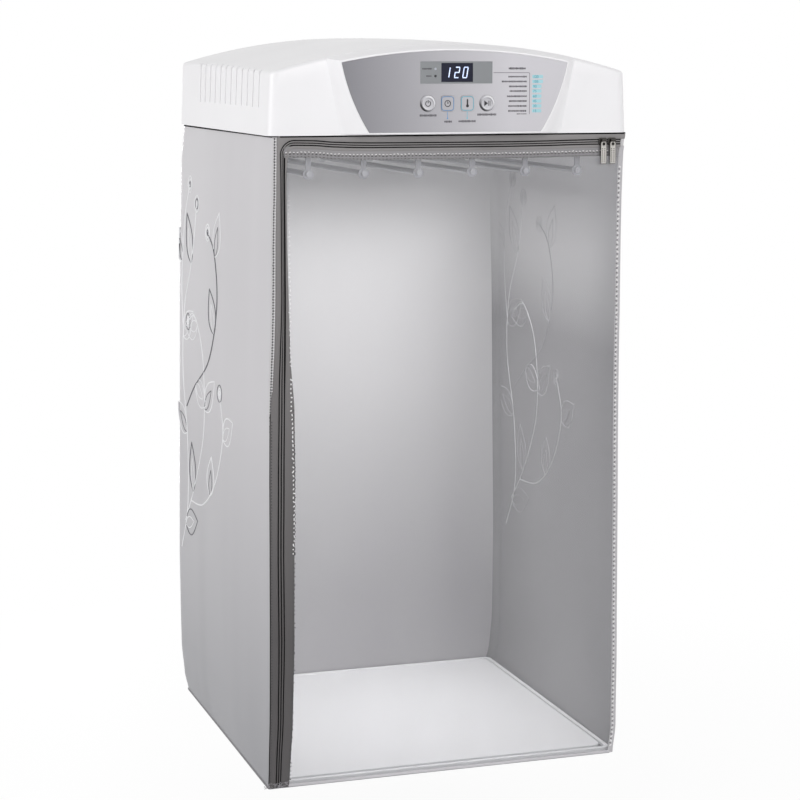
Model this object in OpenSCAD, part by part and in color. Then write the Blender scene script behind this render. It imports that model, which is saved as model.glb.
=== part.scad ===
// Wall-hung fabric clothes dryer: a fan and heater head on the wall, with a zipped bag under it.
// Millimetres. X runs right as seen from the front, Y runs into the wall, Z runs up.
// The origin is the centre of the four wall screws, on the wall's surface.

/* [Head] */
// Width of the head at its lower edge
head_w = 542; // [520:1:600]
// Depth of the head, from the wall to its front face
head_d = 544; // [520:1:600]
// How far each side leans in by the top of the side
head_draft = 4; // [1:0.5:7]
// Height of the side at its highest point
side_h = 96.7; // [90:0.1:120]
// How far the crown of the roof stands above the side's top
roof_rise = 41.3; // [36:0.1:60]
// How far the roof falls from its highest line to the front
roof_fall = 10.9; // [8:0.1:18]
// Distance of the roof's highest line from the wall
crown_y = 5; // [0:1:200]
// Radius of the head's two front corners
corner_r = 13; // [6:1:24]
// Thickness of the moulded cover
shell_t = 2.5; // [2:0.1:3.5]
// Thickness of the base plate under the cover
base_t = 2.5; // [2:0.1:4]
// Height of the base plate's locating rim
rim_h = 12; // [6:1:20]

/* [Louvres] */
// Number of air slots on each side
slot_count = 12; // [6:1:12]
// Width of one slot
slot_w = 4.6; // [3:0.1:8]
// Distance from slot to slot
slot_pitch = 32.4; // [20:0.1:33]
// Distance of the rearmost slot from the wall
slot_rear_y = 130; // [100:1:134]
// Height of the slots' lower ends above the head's lower edge
slot_low = 38.5; // [30:0.5:60]
// How far below the roof's edge the slots end
slot_margin = 3; // [2:0.5:8]

/* [Fascia] */
// How far the fascia stands in front of the head
fascia_proud = 16; // [15:0.5:22]
// Width of the fascia at its top corners, on the head's face
fascia_top_w = 374; // [350:1:400]
// Width of the fascia at its foot, on the head's face
fascia_foot_w = 332; // [310:1:360]
// Wall thickness of the fascia
fascia_t = 3; // [2.5:0.1:4]
// Width of the silver panel at its top corners
panel_top_w = 338; // [330:1:348]
// Width of the silver panel at its foot
panel_foot_w = 258; // [250:1:270]
// Height of the panel's foot above the head's lower edge
panel_foot_z = 3.5; // [3:0.5:6]
// Height of the panel's top corners
panel_corner_z = 101; // [98:1:104]
// How far the panel's top edge rises to its middle
panel_rise = 16.6; // [12:0.2:19]
// How far the panel's side edges bow outward
panel_bow = 5; // [0.5:0.5:7]
// Thickness of the silver panel
panel_t = 0.8; // [0.6:0.1:1.4]
// White rim left outside the panel
panel_rim = 2.4; // [1.6:0.1:3]

/* [Display] */
// Width of the display window
window_w = 108; // [90:1:112]
// Height of the display window
window_h = 31; // [28:0.5:34]
// Height of the window's centre above the head's lower edge
window_z = 87; // [85:0.5:90]
// Width of the dark digit field
digits_w = 47.5; // [42:0.5:52]
// Height of the dark digit field
digits_h = 26.6; // [24:0.2:27]
// Height of one digit
digit_h = 16; // [12:0.5:19]
// Radius of the two indicator lenses
lens_r = 1.7; // [1:0.1:2.4]
// Distance of the indicator lenses left of the window's centre
lens_x = 31.5; // [29:0.5:40]
// Distance between the two indicator lenses
lens_gap = 10; // [7:0.5:14]

/* [Buttons] */
// Height of the buttons' centres above the head's lower edge
button_z = 43.7; // [42:0.1:50]
// Distance from button to button
button_pitch = 29.6; // [27:0.1:34]
// Radius of the two round buttons
round_r = 11.2; // [9:0.2:12]
// Width of the two square keys
key_w = 19; // [15:0.5:21]
// Height of the two square keys
key_h = 21.5; // [18:0.5:24]
// How far the round buttons stand out
round_proud = 2.4; // [1.6:0.1:4]
// How far the square keys stand out
key_proud = 0.8; // [0.6:0.1:1.2]
// Travel of the round buttons
round_travel = 1; // [0.5:0.1:1.2]
// Travel of the square keys
key_travel = 0.5; // [0.3:0.1:0.6]
// Clearance round each button in its hole
button_gap = 0.3; // [0.2:0.05:0.5]

/* [Wall fixing] */
// Height of the wall screws' centre above the head's lower edge
mount_h = 48; // [46:1:52]
// Distance between the wall screws across the wall
screw_span_x = 360; // [300:1:400]
// Distance between the wall screws up the wall
screw_span_z = 50; // [40:1:54]
// Radius of the wall screws' holes
wall_hole_r = 3.25; // [2.5:0.05:4]
// Width of the wall plate
plate_w = 420; // [420:1:460]
// Height of the wall plate
plate_h = 76; // [72:1:80]
// Thickness of the wall plate
plate_t = 2; // [1.5:0.1:3]
// Thickness of the head's rear panel
rear_t = 3; // [2:0.1:4]

/* [Fan and heater] */
// Distance of the fan's axis from the wall
fan_y = 275; // [250:1:290]
// Inner radius of the air duct
duct_r = 96; // [90:1:104]
// Wall thickness of the air duct
duct_t = 3; // [2:0.1:4]
// Height of the heater's duct above the base plate
duct_h = 42; // [38:1:46]
// Height of the fan's shroud above the duct
shroud_h = 38; // [34:1:42]
// Side of the square heater block
heater_w = 124; // [110:1:126]
// Height of the heater block
heater_h = 20; // [14:1:22]
// Number of fins in the heater block
fin_count = 16; // [8:1:20]
// Number of fan blades
blade_count = 5; // [3:1:6]
// Clearance between the blades' tips and the shroud
tip_gap = 3; // [2:0.5:5]
// Radius of the fan's hub
hub_r = 22; // [18:1:26]
// Radius of the fan's shaft
shaft_r = 4; // [3:0.5:5]
// Radial clearance of the shaft in the motor
shaft_gap = 0.05; // [0.02:0.01:0.08]
// Radius of the motor's can
motor_r = 30; // [26:1:33]
// Height of the motor's can
motor_h = 30; // [24:1:32]

/* [Cord entry] */
// Distance of the cord entry from the wall
gland_y = 62; // [50:1:80]
// Height of the cord entry above the head's lower edge
gland_z = 16; // [14:1:26]
// Radius of the cord's hole through the gland
cord_hole_r = 3.6; // [3:0.1:4.2]

/* [Hanging rack] */
// Number of hanging rods
rod_count = 6; // [4:1:6]
// Radius of a hanging rod
rod_r = 4; // [3:0.5:5]
// Distance of the outer rods from the ends of the combs
rod_edge = 52.3; // [45:0.1:80]
// Distance of the rods below the head
rod_drop = 55; // [50:1:70]
// Distance of the front comb from the head's front face
comb_inset = 30; // [26:1:50]
// Distance of the rear comb from the wall
comb_rear = 26; // [20:1:50]
// Thickness of the two combs
comb_t = 2.5; // [2:0.1:4]
// Radius of the bar that takes clothes hangers
bar_r = 8; // [6:0.5:9]
// Distance of the hanger bar below the head
bar_drop = 28; // [24:0.5:30]

/* [Bag] */
// Height of the bag
bag_h = 942; // [700:1:1100]
// How far the bag's top edge lies inside the head's side
bag_inset = 6; // [5:0.5:20]
// How far each side of the bag flares out by its foot
bag_flare = 10.5; // [5:0.5:20]
// How far the bag's front lies behind the head's front face
bag_set_back = 4; // [2:0.5:8]
// Gap between the head and the bag's top edge
bag_top_gap = 2; // [1:0.5:4]
// Thickness of the bag's cloth
cloth_t = 1.6; // [1:0.1:2.4]
// Height of the rail that carries the bag
rail_h = 12; // [10:0.5:16]
// Thickness of the rail
rail_t = 4; // [3:0.5:6]
// Thickness of the white floor plate
floor_t = 4; // [3:0.5:6]
// Width of the frame beside and behind the floor plate
frame_w = 5; // [4:0.5:12]
// Width of the frame in front of the floor plate
frame_front_w = 21; // [10:1:40]

/* [Door and zip] */
// Distance of the zip's upright run from the bag's edge at its top
zip_inset = 10; // [9:0.5:20]
// Distance of the zip's level run below the head
zip_z = 13; // [12:0.5:15]
// Radius of the zip's bend
zip_r = 25; // [22:1:40]
// Width of one row of zip teeth
teeth_w = 4; // [3:0.1:4.5]
// Thickness of the zip teeth
teeth_t = 3; // [2:0.1:3.4]
// Gap between the two rows of teeth
zip_gap = 1.2; // [1.1:0.05:1.4]
// Thickness of the front's cloth and clear sheet
front_t = 1; // [0.8:0.1:1.4]
// Width of the dark tape beside the door's teeth
tape_w = 12; // [8:0.5:14]
// Width of the binding along the door's hinged edge
binding_w = 11; // [8:0.5:14]
// Height of the door's bottom hem
hem_h = 8; // [5:0.5:14]
// Clearance between the door and what it closes against
door_gap = 0.3; // [0.25:0.05:0.5]
// Distance of the right slider left of the door's hinge line
slider_inset = 16.5; // [10:0.5:20]
// Distance from slider to slider
slider_pitch = 14.5; // [14:0.1:18]
// Length of a slider along the zip
slider_l = 12.5; // [10:0.1:13]
// Height of a slider's front plate
slider_h = 11; // [9.5:0.1:13]
// Length of a pull tab below its pin
tab_l = 34; // [24:1:44]
// Width of a pull tab
tab_w = 9; // [7:0.1:10]
// Thickness of a pull tab
tab_t = 1.4; // [1:0.1:1.8]

/* [Hidden] */
$fn = 64;

// Clearances that several fits share, and how far a cut runs past the surface it opens
seat_gap = 0.1;
screw_gap = 0.05;
cover_gap = 0.3;
rest_gap = 0.3;
over = 1;
far = 2000;

// Colours
white = [0.93, 0.93, 0.94];
silver = [0.72, 0.71, 0.74];
steel = [0.6, 0.6, 0.62];
bright_steel = [0.85, 0.85, 0.87];
screw_steel = [0.7, 0.7, 0.72];
cloth_grey = [0.72, 0.72, 0.74];
floor_grey = [0.8, 0.8, 0.82];
tape_grey = [0.38, 0.37, 0.38];
zip_grey = [0.2, 0.19, 0.2];
black = [0.13, 0.13, 0.14];
dark_grey = [0.25, 0.25, 0.27];

// The roof is an arch across the head, swept along a much wider arch from back to front
arch_r = (pow(head_w / 2, 2) + pow(roof_rise, 2)) / (2 * roof_rise);
sweep_r = (pow(head_d - crown_y, 2) + pow(roof_fall, 2)) / (2 * roof_fall);
roof_top = side_h + roof_rise;
function roof_z(x, y) =
    roof_top - (arch_r - sqrt(pow(arch_r, 2) - pow(x, 2)))
    - (sweep_r - sqrt(pow(sweep_r, 2) - pow(y + crown_y, 2)));

// Head, from the wall forward
front_y = -head_d;
rear_in = -plate_t - rear_t;
face_y = front_y - fascia_proud;
wall_in_y = face_y + panel_t + fascia_t;
plate_corner = 4;
screw_access = 5;
hook_x = 110;
hook_w = 30;
hook_t = 2;
hook_lift = 14;
hook_z = mount_h + hook_lift;
hook_reach = rear_t + cover_gap;
hook_up = 6;
hook_side_gap = 0.5;
rim_t = 2;
side_cut = 12;
fascia_low = 1.5;
fascia_roof_gap = 1;
fascia_steps = 24;
skin = 0.5;

// Screws
screw_r = 1.5;
screw_head_r = 3.6;
screw_head_t = 2;
screw_end_room = 2;
cover_screw_r = 2;
cover_shank = 20;
boss_w = 16;
boss_h = 36;
board_head_r = 2.8;
board_head_t = 1.4;
board_screw_reach = 5;
grille_head_r = 3;
grille_head_t = 1.6;

// Control board, display and buttons
board_stand = 4;
board_y = front_y - board_stand;
board_t = 1.6;
board_w = 260;
board_low = 20;
board_high = 96;
board_room = 4;
post_r = 3.5;
post_x = board_w / 2 - 8;
post_edge = 6;
post_z = [board_low + post_edge, board_high - post_edge];
button_shift = 1.5;
button_x = [for (i = [0 : 3]) (i - 1.5) * button_pitch + button_shift];
flange_t = 1.2;
flange_w = 1.3;
flange_y = wall_in_y + rest_gap;
cap_edge = 0.8;
cap_taper = 1.4;
dish_depth = 0.5;
dish_rim = 4;
stem_r = 2.5;
key_corner = 3.7;
switch_w = 6;
switch_h = 2.4;
nub_r = 1.75;
nub_h = 0.8;
lens_proud = 0.3;

// The lit number, made of seven-segment bars that lean a little to the right
digits_x = 1;
digits_sunk = 0.4;
digits_rim = 4;
digit_t = 0.2;
digit_w = 7.4;
digit_step = 12.4;
one_shift = 2;
lean_per_mm = 0.16;
bar_l = digit_h / 2;
bar_t = 1.5;
bar_gap = 0.8;

// Air path, from the outlet up to the motor
outlet_r = duct_r;
grille_r = outlet_r + 12;
grille_t = 3;
grille_lip = 2;
grille_rings = 6;
grille_ring_w = 2.4;
grille_arm_w = 2.8;
grille_screw_ring = outlet_r + 6.5;
duct_low = base_t;
duct_top = duct_low + duct_h;
shroud_top = duct_top + shroud_h;
tray_z = duct_low + 8;
tray_t = 1.5;
tray_lap = 6;
heater_z = tray_z + tray_t;
heater_bar = 4;
heater_edge = 3;
element_w = 6;
fin_t = 1.2;
cutout_r = 8;
cutout_h = 5;
cutout_cap_r = 5;
cutout_cap_h = 3;
bracket_t = 3;
bracket_lip = 5;
bracket_arm_w = 12;
bracket_pad = 4;
shaft_room = 3;
shaft_past = 3;
motor_low = shroud_top + bracket_t;
motor_cap_h = 4;
motor_cap_in = 6;
bore_end = 6;
fan_mid = duct_top + shroud_h / 2;
fan_h = 22;
hub_fit = 0.02;
blade_w = 44;
blade_t = 2.2;
blade_root = 4;
blade_angle = 24;

// Power module, cord gland and loom
module_w = 94;
module_d = 66;
module_h = 26;
module_gap = 21;
module_x0 = duct_r + duct_t + module_gap;
module_x1 = module_x0 + module_w;
module_y1 = -84;
module_y0 = module_y1 - module_d;
coil_w = 18;
coil_h = 5;
coil_pitch = 26;
coil_edge = 9;
gland_wall_x = head_w / 2 - head_draft * gland_z / side_h;
gland_half = cord_hole_r + 2.6;
gland_lip = 3.8;
gland_out = 4;
gland_in = 8;
gland_face_gap = 0.9;
gland_inner_gap = 1.2;
gland_inner_t = 3;
loom_r = 3;
loom_bend = 10;
loom_x = module_x0 + 2 * loom_r;
loom_low = base_t + loom_r + seat_gap;
loom_port = 24;
loom_high = board_low + loom_port;
loom_front = front_y + shell_t + 12;

// Bag, and the rail that carries it
bag_top_w = head_w - 2 * bag_inset;
bag_foot_w = bag_top_w + 2 * bag_flare;
function half_w(z) = (bag_top_w - (bag_foot_w - bag_top_w) * z / bag_h) / 2;
bag_front = front_y + bag_set_back;
bag_back = -plate_t;
side_front = bag_front + front_t + door_gap;
floor_clear = 0.2;
frame_clear = 0.5;
frame_half = half_w(-bag_h) - cloth_t - frame_clear;
frame_front = side_front + 2;
frame_back = bag_back - cloth_t - seat_gap;
floor_z = -bag_h + cloth_t;
floor_gap = 0.8;
floor_corner = 12;

// Zip, sliders and pull tabs
zip_x = bag_top_w / 2 - zip_inset;
row_low = zip_gap / 2;
row_high = row_low + teeth_w;
hinge_in = cloth_t / 2;
teeth_y = bag_front + front_t / 2;
teeth_side_end = 2;
teeth_foot = 6;
slider_plate_y = teeth_y - teeth_t / 2 - door_gap;
slider_plate_t = 1.6;
slider_back_y = teeth_y + teeth_t / 2 + door_gap;
slider_back_t = 1;
slider_corner = 2.5;
slider_lap = 0.2;
slider_right_x = half_w(-zip_z) - hinge_in - slider_inset;
slider_left_x = slider_right_x - slider_pitch;
web_t = zip_gap - 2 * door_gap;
web_in = 1;
groove_drop = 3.4;
groove_h = 2;
groove_depth = 0.5;
pin_r = 1;
pin_gap = 0.05;
pin_y = slider_plate_y - slider_plate_t - 3;
pin_z = -zip_z + 2;
knuckle_r = 2.2;
neck_w = 4;
neck_l = 6;
ear_t = 1;
ear_r = 2;
ear_x = neck_w / 2 + door_gap + ear_t / 2;
eye_r = tab_w / 2 + 0.3;
eye_hole_r = 1.6;
eye_drop = knuckle_r + eye_r + 1.8;
tongue_top = 12;
tongue_corner = 1.2;

// The rail stands behind the sliders' back plates, and the cover screws pass inside it
rail_front = slider_back_y + slider_back_t + 0.6;
rail_half = bag_top_w / 2 - cloth_t - seat_gap;
rail_back = bag_back - cloth_t - seat_gap;
band_fold_z = -zip_z + row_high + 1.5;
screw_clear = 2;
cover_screw_x = rail_half - rail_t - screw_head_r - screw_clear;
cover_screw_y = [rail_front + rail_t + screw_head_r + screw_clear,
                 rail_back - rail_t - screw_head_r - 2 * screw_clear];

// Hanging rack
comb_front_y = front_y + comb_inset;
comb_hole_r = rod_r + screw_gap;
comb_foot_r = rod_r + 4;
comb_h = 14;
comb_half = rail_half - rail_t - 2;
rod_past = 4;
rod_start = comb_front_y - rod_past;
rod_end = -comb_rear + rod_past;
rod_pitch = 2 * (comb_half - rod_edge) / (rod_count - 1);
rod_x = [for (i = [0 : rod_count - 1]) (i - (rod_count - 1) / 2) * rod_pitch];
hanger_plate_t = 2;
hanger_pad_r = bar_r + 4;
bar_half = comb_half - 2 * hanger_plate_t;
bar_wall = 1.2;

// Raises the head's own heights, so that the wall screws' centre is the origin
module hung() {
    translate([0, 0, -mount_h]) children();
}

// Extrudes an outline drawn in X and Z from y0 to y1
module along_y(y0, y1) {
    translate([0, y1, 0]) rotate([90, 0, 0]) linear_extrude(y1 - y0) children();
}

// Extrudes an outline drawn in Y and Z from x0 to x1
module along_x(x0, x1) {
    translate([x0, 0, 0]) rotate([90, 0, 90]) linear_extrude(x1 - x0) children();
}

// Axis-aligned block between two corners
module block(a, b) {
    translate(a) cube(b - a);
}

// Round bar along Y
module bar_y(x, z, y0, y1, r) {
    translate([x, y1, z]) rotate([90, 0, 0]) cylinder(r = r, h = y1 - y0);
}

// Round bar along X
module bar_x(y, z, x0, x1, r) {
    translate([x0, y, z]) rotate([0, 90, 0]) cylinder(r = r, h = x1 - x0);
}

// Points of an arc from a to b that bows to the left of its direction by the given rise
function arc_points(a, b, rise, n) =
    let (chord = norm(b - a),
         r = (pow(chord / 2, 2) + pow(rise, 2)) / (2 * rise),
         u = (b - a) / chord,
         v = [-u[1], u[0]],
         c = (a + b) / 2 + v * (rise - r),
         half = asin(chord / 2 / r))
    [for (i = [0 : n]) let (t = -half + 2 * half * i / n) c + u * r * sin(t) + v * r * cos(t)];

// Rounded rectangle, centred
module round_rect(w, h, r) {
    union() {
        square([w - 2 * r, h], center = true);
        square([w, h - 2 * r], center = true);
        for (x = [-1, 1]) for (y = [-1, 1])
            translate([x * (w / 2 - r), y * (h / 2 - r)]) circle(r);
    }
}

// The head's outer form, drawn in by an inset on every face but the lower one
module head_form(inset, y_back) {
    intersection() {
        head_plan(inset, y_back, roof_top + over);
        head_sides(inset);
        head_roof(inset);
    }
}

module head_plan(inset, y_back, h) {
    r = max(corner_r - inset, 1);
    half = head_w / 2 - inset;
    y0 = front_y + inset;
    linear_extrude(h) union() {
        translate([-half, y0 + r]) square([2 * half, y_back - y0 - r]);
        translate([-half + r, y0]) square([2 * half - 2 * r, y_back - y0]);
        for (x = [-1, 1]) translate([x * (half - r), y0 + r]) circle(r);
    }
}

module head_sides(inset) {
    half = head_w / 2 - inset;
    lean = head_draft / side_h * roof_top;
    along_y(front_y - over, over)
        polygon([[-half, -over], [half, -over], [half, 0], [half - lean, roof_top],
                 [half - lean, roof_top + over], [-half + lean, roof_top + over],
                 [-half + lean, roof_top], [-half, 0]]);
}

module head_roof(inset) {
    sweep = 14;
    translate([0, -crown_y, roof_top - sweep_r - inset]) rotate([0, 90, 0])
        rotate([0, 0, 180 - sweep / 2]) rotate_extrude(angle = sweep, $fn = 720)
            intersection() {
                translate([sweep_r - arch_r, 0]) circle(arch_r, $fn = 360);
                translate([sweep_r - 1.5 * roof_top, -head_w]) square([2 * roof_top, 2 * head_w]);
            }
}

// Outline of the silver panel, grown or drawn in by an offset on its straight measures
function panel_outline(grow) =
    let (top = panel_top_w / 2 + grow, foot = panel_foot_w / 2 + grow,
         high = panel_corner_z + grow, low = panel_foot_z - min(grow, panel_foot_z - fascia_low))
    concat(arc_points([-top, high], [top, high], panel_rise, 32),
           arc_points([top, high], [foot, low], panel_bow, 12),
           arc_points([-foot, low], [-top, high], panel_bow, 12));

function fascia_outline(inset) =
    let (top = fascia_top_w / 2 - inset, foot = fascia_foot_w / 2 - inset, low = fascia_low + inset)
    concat([[foot, low]],
           [for (i = [0 : fascia_steps]) let (x = top - 2 * top * i / fascia_steps)
               [x, roof_z(x, front_y) - inset - fascia_roof_gap]],
           [[-foot, low]]);

// Everything inside the zip's path, moved inward by an inset, with no right or lower end
module inside_zip(inset) {
    translate([-zip_x + inset, -far]) square([far, far - zip_z - zip_r]);
    translate([-zip_x + zip_r, -far]) square([far, far - zip_z - inset]);
    translate([-zip_x + zip_r, -zip_z - zip_r]) circle(zip_r - inset);
}

// Front of the bag between its two side edges, each drawn in by the same measure
module front_outline(side_inset, top, foot) {
    polygon([[-half_w(top) + side_inset, top], [half_w(top) - side_inset, top],
             [half_w(-bag_h) - side_inset, foot], [-half_w(-bag_h) + side_inset, foot]]);
}

// The door's own field: left of its hinge line and above its lower edge
module door_field() {
    front_outline(hinge_in + door_gap, 0, -bag_h + door_gap);
}

module wall_screw_bars(y0, y1, r) {
    for (x = [-1, 1]) for (z = [-1, 1])
        bar_y(x * screw_span_x / 2, mount_h + z * screw_span_z / 2, y0, y1, r);
}

module wall_plate() {
    color(steel) hung() {
        difference() {
            along_y(-plate_t, 0) translate([0, mount_h]) round_rect(plate_w, plate_h, plate_corner);
            wall_screw_bars(-plate_t - over, over, wall_hole_r);
        }
        for (x = [-1, 1]) wall_hook(x * hook_x);
    }
}

module wall_hook(x) {
    y0 = -plate_t - hook_reach;
    block([x - hook_w / 2, y0, hook_z], [x + hook_w / 2, -plate_t, hook_z + hook_t]);
    block([x - hook_w / 2, y0 - hook_t, hook_z], [x + hook_w / 2, y0, hook_z + hook_t + hook_up]);
}

module rear_panel() {
    side = hook_w / 2 + hook_side_gap;
    color(white) hung() difference() {
        intersection() {
            head_form(shell_t + cover_gap, -plate_t);
            block([-far / 2, rear_in, base_t], [far / 2, -plate_t, far / 2]);
        }
        for (x = [-1, 1])
            block([x * hook_x - side, rear_in - over, hook_z - cover_gap],
                  [x * hook_x + side, over, hook_z + hook_t + hook_up + over]);
        wall_screw_bars(rear_in - over, over, wall_hole_r + screw_access);
    }
}

module head_base() {
    rim = shell_t + head_draft * rim_h / side_h + cover_gap;
    color(white) hung() difference() {
        union() {
            intersection() {
                head_plan(0, -plate_t, base_t);
                head_sides(0);
            }
            difference() {
                head_plan(rim, rear_in, base_t + rim_h);
                translate([0, 0, -over]) head_plan(rim + rim_t, rear_in + over, base_t + rim_h + 2 * over);
                corner_blocks(cover_gap, 0, far / 2);
                corner_ribs(cover_gap);
                translate([0, 0, base_t])
                    gland_body(head_w / 2 - 2 * side_cut, head_w / 2, cover_gap, gland_lip);
            }
        }
        translate([0, -fan_y, -over]) cylinder(r = outlet_r, h = base_t + 2 * over);
        cover_screw_holes(cover_screw_r + screw_gap);
        grille_screw_holes(screw_r + screw_gap);
    }
}

module corner_blocks(grow, z0, z1) {
    half = boss_w / 2 + grow;
    for (x = [-1, 1]) for (y = cover_screw_y)
        block([x * cover_screw_x - half, y - half, z0], [x * cover_screw_x + half, y + half, z1]);
}

// Ribs that tie each corner boss to the cover's side wall, with room left round them
module corner_ribs(room) {
    half = boss_w / 2 + room;
    for (x = [-1, 1]) for (y = cover_screw_y)
        block([min(x * cover_screw_x, x * head_w / 2), y - half, base_t],
              [max(x * cover_screw_x, x * head_w / 2), y + half, boss_h]);
}

module cover_screw_holes(r) {
    for (x = [-1, 1]) for (y = cover_screw_y)
        translate([x * cover_screw_x, y, -far / 2])
            cylinder(r = r, h = far / 2 + cover_shank + screw_end_room);
}

module grille_screw_places() {
    for (a = [45 : 90 : 315]) translate([0, -fan_y, 0]) rotate([0, 0, a])
        translate([grille_screw_ring, 0, 0]) children();
}

module grille_screw_holes(r) {
    grille_screw_places() translate([0, 0, -grille_t - over])
        cylinder(r = r, h = grille_t + base_t + 2 * over);
}

module head_cover() {
    color(white) hung() difference() {
        union() {
            difference() {
                head_form(0, -plate_t);
                head_form(shell_t, over);
                block([-far / 2, front_y - over, -over], [far / 2, over, base_t]);
            }
            intersection() {
                head_form(skin, rear_in);
                union() {
                    corner_blocks(0, base_t, boss_h);
                    corner_ribs(0);
                }
            }
        }
        side_slots();
        cover_screw_holes(cover_screw_r + screw_gap);
        along_y(front_y - over, front_y + shell_t + over)
            translate([-board_w / 2 - board_room, board_low - board_room])
                square([board_w + 2 * board_room, board_high - board_low + 1.5 * board_room]);
        gland_body(head_w / 2 - side_cut, head_w / 2 + over, cover_gap, 0);
    }
}

module side_slots() {
    for (side = [-1, 1]) for (i = [0 : slot_count - 1]) {
        y = -slot_rear_y - i * slot_pitch;
        low = slot_low + slot_w / 2;
        high = roof_z(head_w / 2, y) - slot_margin - slot_w / 2;
        x0 = side > 0 ? head_w / 2 - side_cut : -head_w / 2 - over;
        x1 = side > 0 ? head_w / 2 + over : -head_w / 2 + side_cut;
        block([x0, y - slot_w / 2, low], [x1, y + slot_w / 2, high]);
        bar_x(y, low, x0, x1, slot_w / 2);
        bar_x(y, high, x0, x1, slot_w / 2);
    }
}

module front_fascia() {
    color(white) hung() difference() {
        union() {
            difference() {
                hull() {
                    along_y(front_y - 2 * skin, front_y) polygon(fascia_outline(0));
                    along_y(face_y, face_y + skin) polygon(panel_outline(panel_rim));
                }
                hull() {
                    along_y(front_y - 2 * skin, front_y + over) polygon(fascia_outline(fascia_t));
                    along_y(wall_in_y, wall_in_y + skin) polygon(panel_outline(-over));
                }
            }
            board_bars(wall_in_y - skin, board_y, post_r);
        }
        along_y(face_y - over, face_y + panel_t) polygon(panel_outline(0));
        panel_openings(face_y - over, wall_in_y + over);
        board_bars(wall_in_y, board_y + over, screw_r + screw_gap);
    }
}

// Openings for the display and the four buttons
module panel_openings(y0, y1) {
    along_y(y0, y1) {
        translate([0, window_z]) square([window_w, window_h], center = true);
        for (i = [1, 2]) translate([button_x[i], button_z])
            round_rect(key_w + 2 * button_gap, key_h + 2 * button_gap, key_corner + button_gap);
    }
    for (i = [0, 3]) bar_y(button_x[i], button_z, y0, y1, round_r + button_gap);
}

// Round bars along the board's four fixing points
module board_bars(y0, y1, r) {
    for (x = [-1, 1]) for (z = post_z) bar_y(x * post_x, z, y0, y1, r);
}

module control_panel() {
    color(silver) hung() difference() {
        along_y(face_y, face_y + panel_t) polygon(panel_outline(-seat_gap));
        panel_openings(face_y - over, face_y + panel_t + over);
    }
}

// Rectangle round the lit number, drawn in by an inset
module digits_field(inset) {
    translate([digits_x, window_z]) square([digits_w - 2 * inset, digits_h - 2 * inset], center = true);
}

// Clear plate over the display, with openings for the digit field and the lenses
module display_window() {
    color([0.56, 0.56, 0.58]) hung() difference() {
        along_y(face_y, wall_in_y) translate([0, window_z])
            square([window_w - 2 * seat_gap, window_h - 2 * seat_gap], center = true);
        along_y(face_y - over, wall_in_y + over) digits_field(0);
        lens_bars(face_y - over, wall_in_y + over, lens_r + seat_gap);
    }
}

module display_module() {
    color(black) hung() {
        along_y(face_y + digits_sunk, wall_in_y) digits_field(seat_gap);
        along_y(wall_in_y, board_y) digits_field(digits_rim);
    }
}

module segment(x, z, upright) {
    w = upright ? bar_t : digit_w - bar_t;
    h = upright ? bar_l - bar_gap : bar_t;
    polygon([for (p = [[-w, -h], [w, -h], [w, h], [-w, h]] / 2)
        [x + p[0] + (z + p[1]) * lean_per_mm, z + p[1]]]);
}

module digit(x, segments) {
    side = (digit_w - bar_t) / 2;
    for (s = segments) {
        if (s == "a") segment(x, digit_h / 2 - bar_t / 2, false);
        if (s == "b") segment(x + side, bar_l / 2 - bar_t / 2, true);
        if (s == "c") segment(x + side, -bar_l / 2 + bar_t / 2, true);
        if (s == "d") segment(x, -digit_h / 2 + bar_t / 2, false);
        if (s == "e") segment(x - side, -bar_l / 2 + bar_t / 2, true);
        if (s == "f") segment(x - side, bar_l / 2 - bar_t / 2, true);
        if (s == "g") segment(x, 0, false);
    }
}

module display_digits() {
    y0 = face_y + digits_sunk - digit_t;
    color([0.8, 0.87, 1]) hung() along_y(y0, y0 + digit_t) translate([digits_x, window_z]) {
        digit(-digit_step - one_shift, ["b", "c"]);
        digit(0, ["a", "b", "d", "e", "g"]);
        digit(digit_step, ["a", "b", "c", "d", "e", "f"]);
    }
}

module lens_bars(y0, y1, r) {
    for (z = [-1, 1]) bar_y(-lens_x, window_z + z * lens_gap / 2, y0, y1, r);
}

module indicator_lenses() {
    color(bright_steel) hung() lens_bars(face_y - lens_proud, board_y, lens_r);
}

module control_board() {
    color([0.1, 0.35, 0.2]) hung() difference() {
        along_y(board_y, board_y + board_t) translate([-board_w / 2, board_low])
            square([board_w, board_high - board_low]);
        board_bars(board_y - over, board_y + board_t + over, screw_r + screw_gap);
    }
}

module key_switches() {
    color(black) hung() for (x = button_x) {
        block([x - switch_w / 2, board_y - switch_h, button_z - switch_w / 2],
              [x + switch_w / 2, board_y, button_z + switch_w / 2]);
        bar_y(x, button_z, board_y - switch_h - nub_h, board_y - switch_h, nub_r);
    }
}

// Stem from a button's flange to just before its switch
module button_stem(x, travel) {
    bar_y(x, button_z, flange_y, board_y - switch_h - nub_h - travel - rest_gap, stem_r);
}

// A round button: cap through the panel, with a dish in its face, and a flange behind the panel
module round_button(x) {
    cap_y = face_y - round_proud;
    color(bright_steel) hung() {
        difference() {
            union() {
                bar_y(x, button_z, cap_y + cap_edge, flange_y + flange_t, round_r);
                translate([x, cap_y + cap_edge, button_z]) rotate([90, 0, 0])
                    cylinder(r1 = round_r, r2 = round_r - cap_taper, h = cap_edge);
            }
            bar_y(x, button_z, cap_y - over, cap_y + dish_depth, round_r - dish_rim);
        }
        bar_y(x, button_z, flange_y, flange_y + flange_t, round_r + flange_w);
        button_stem(x, round_travel);
    }
}

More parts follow.
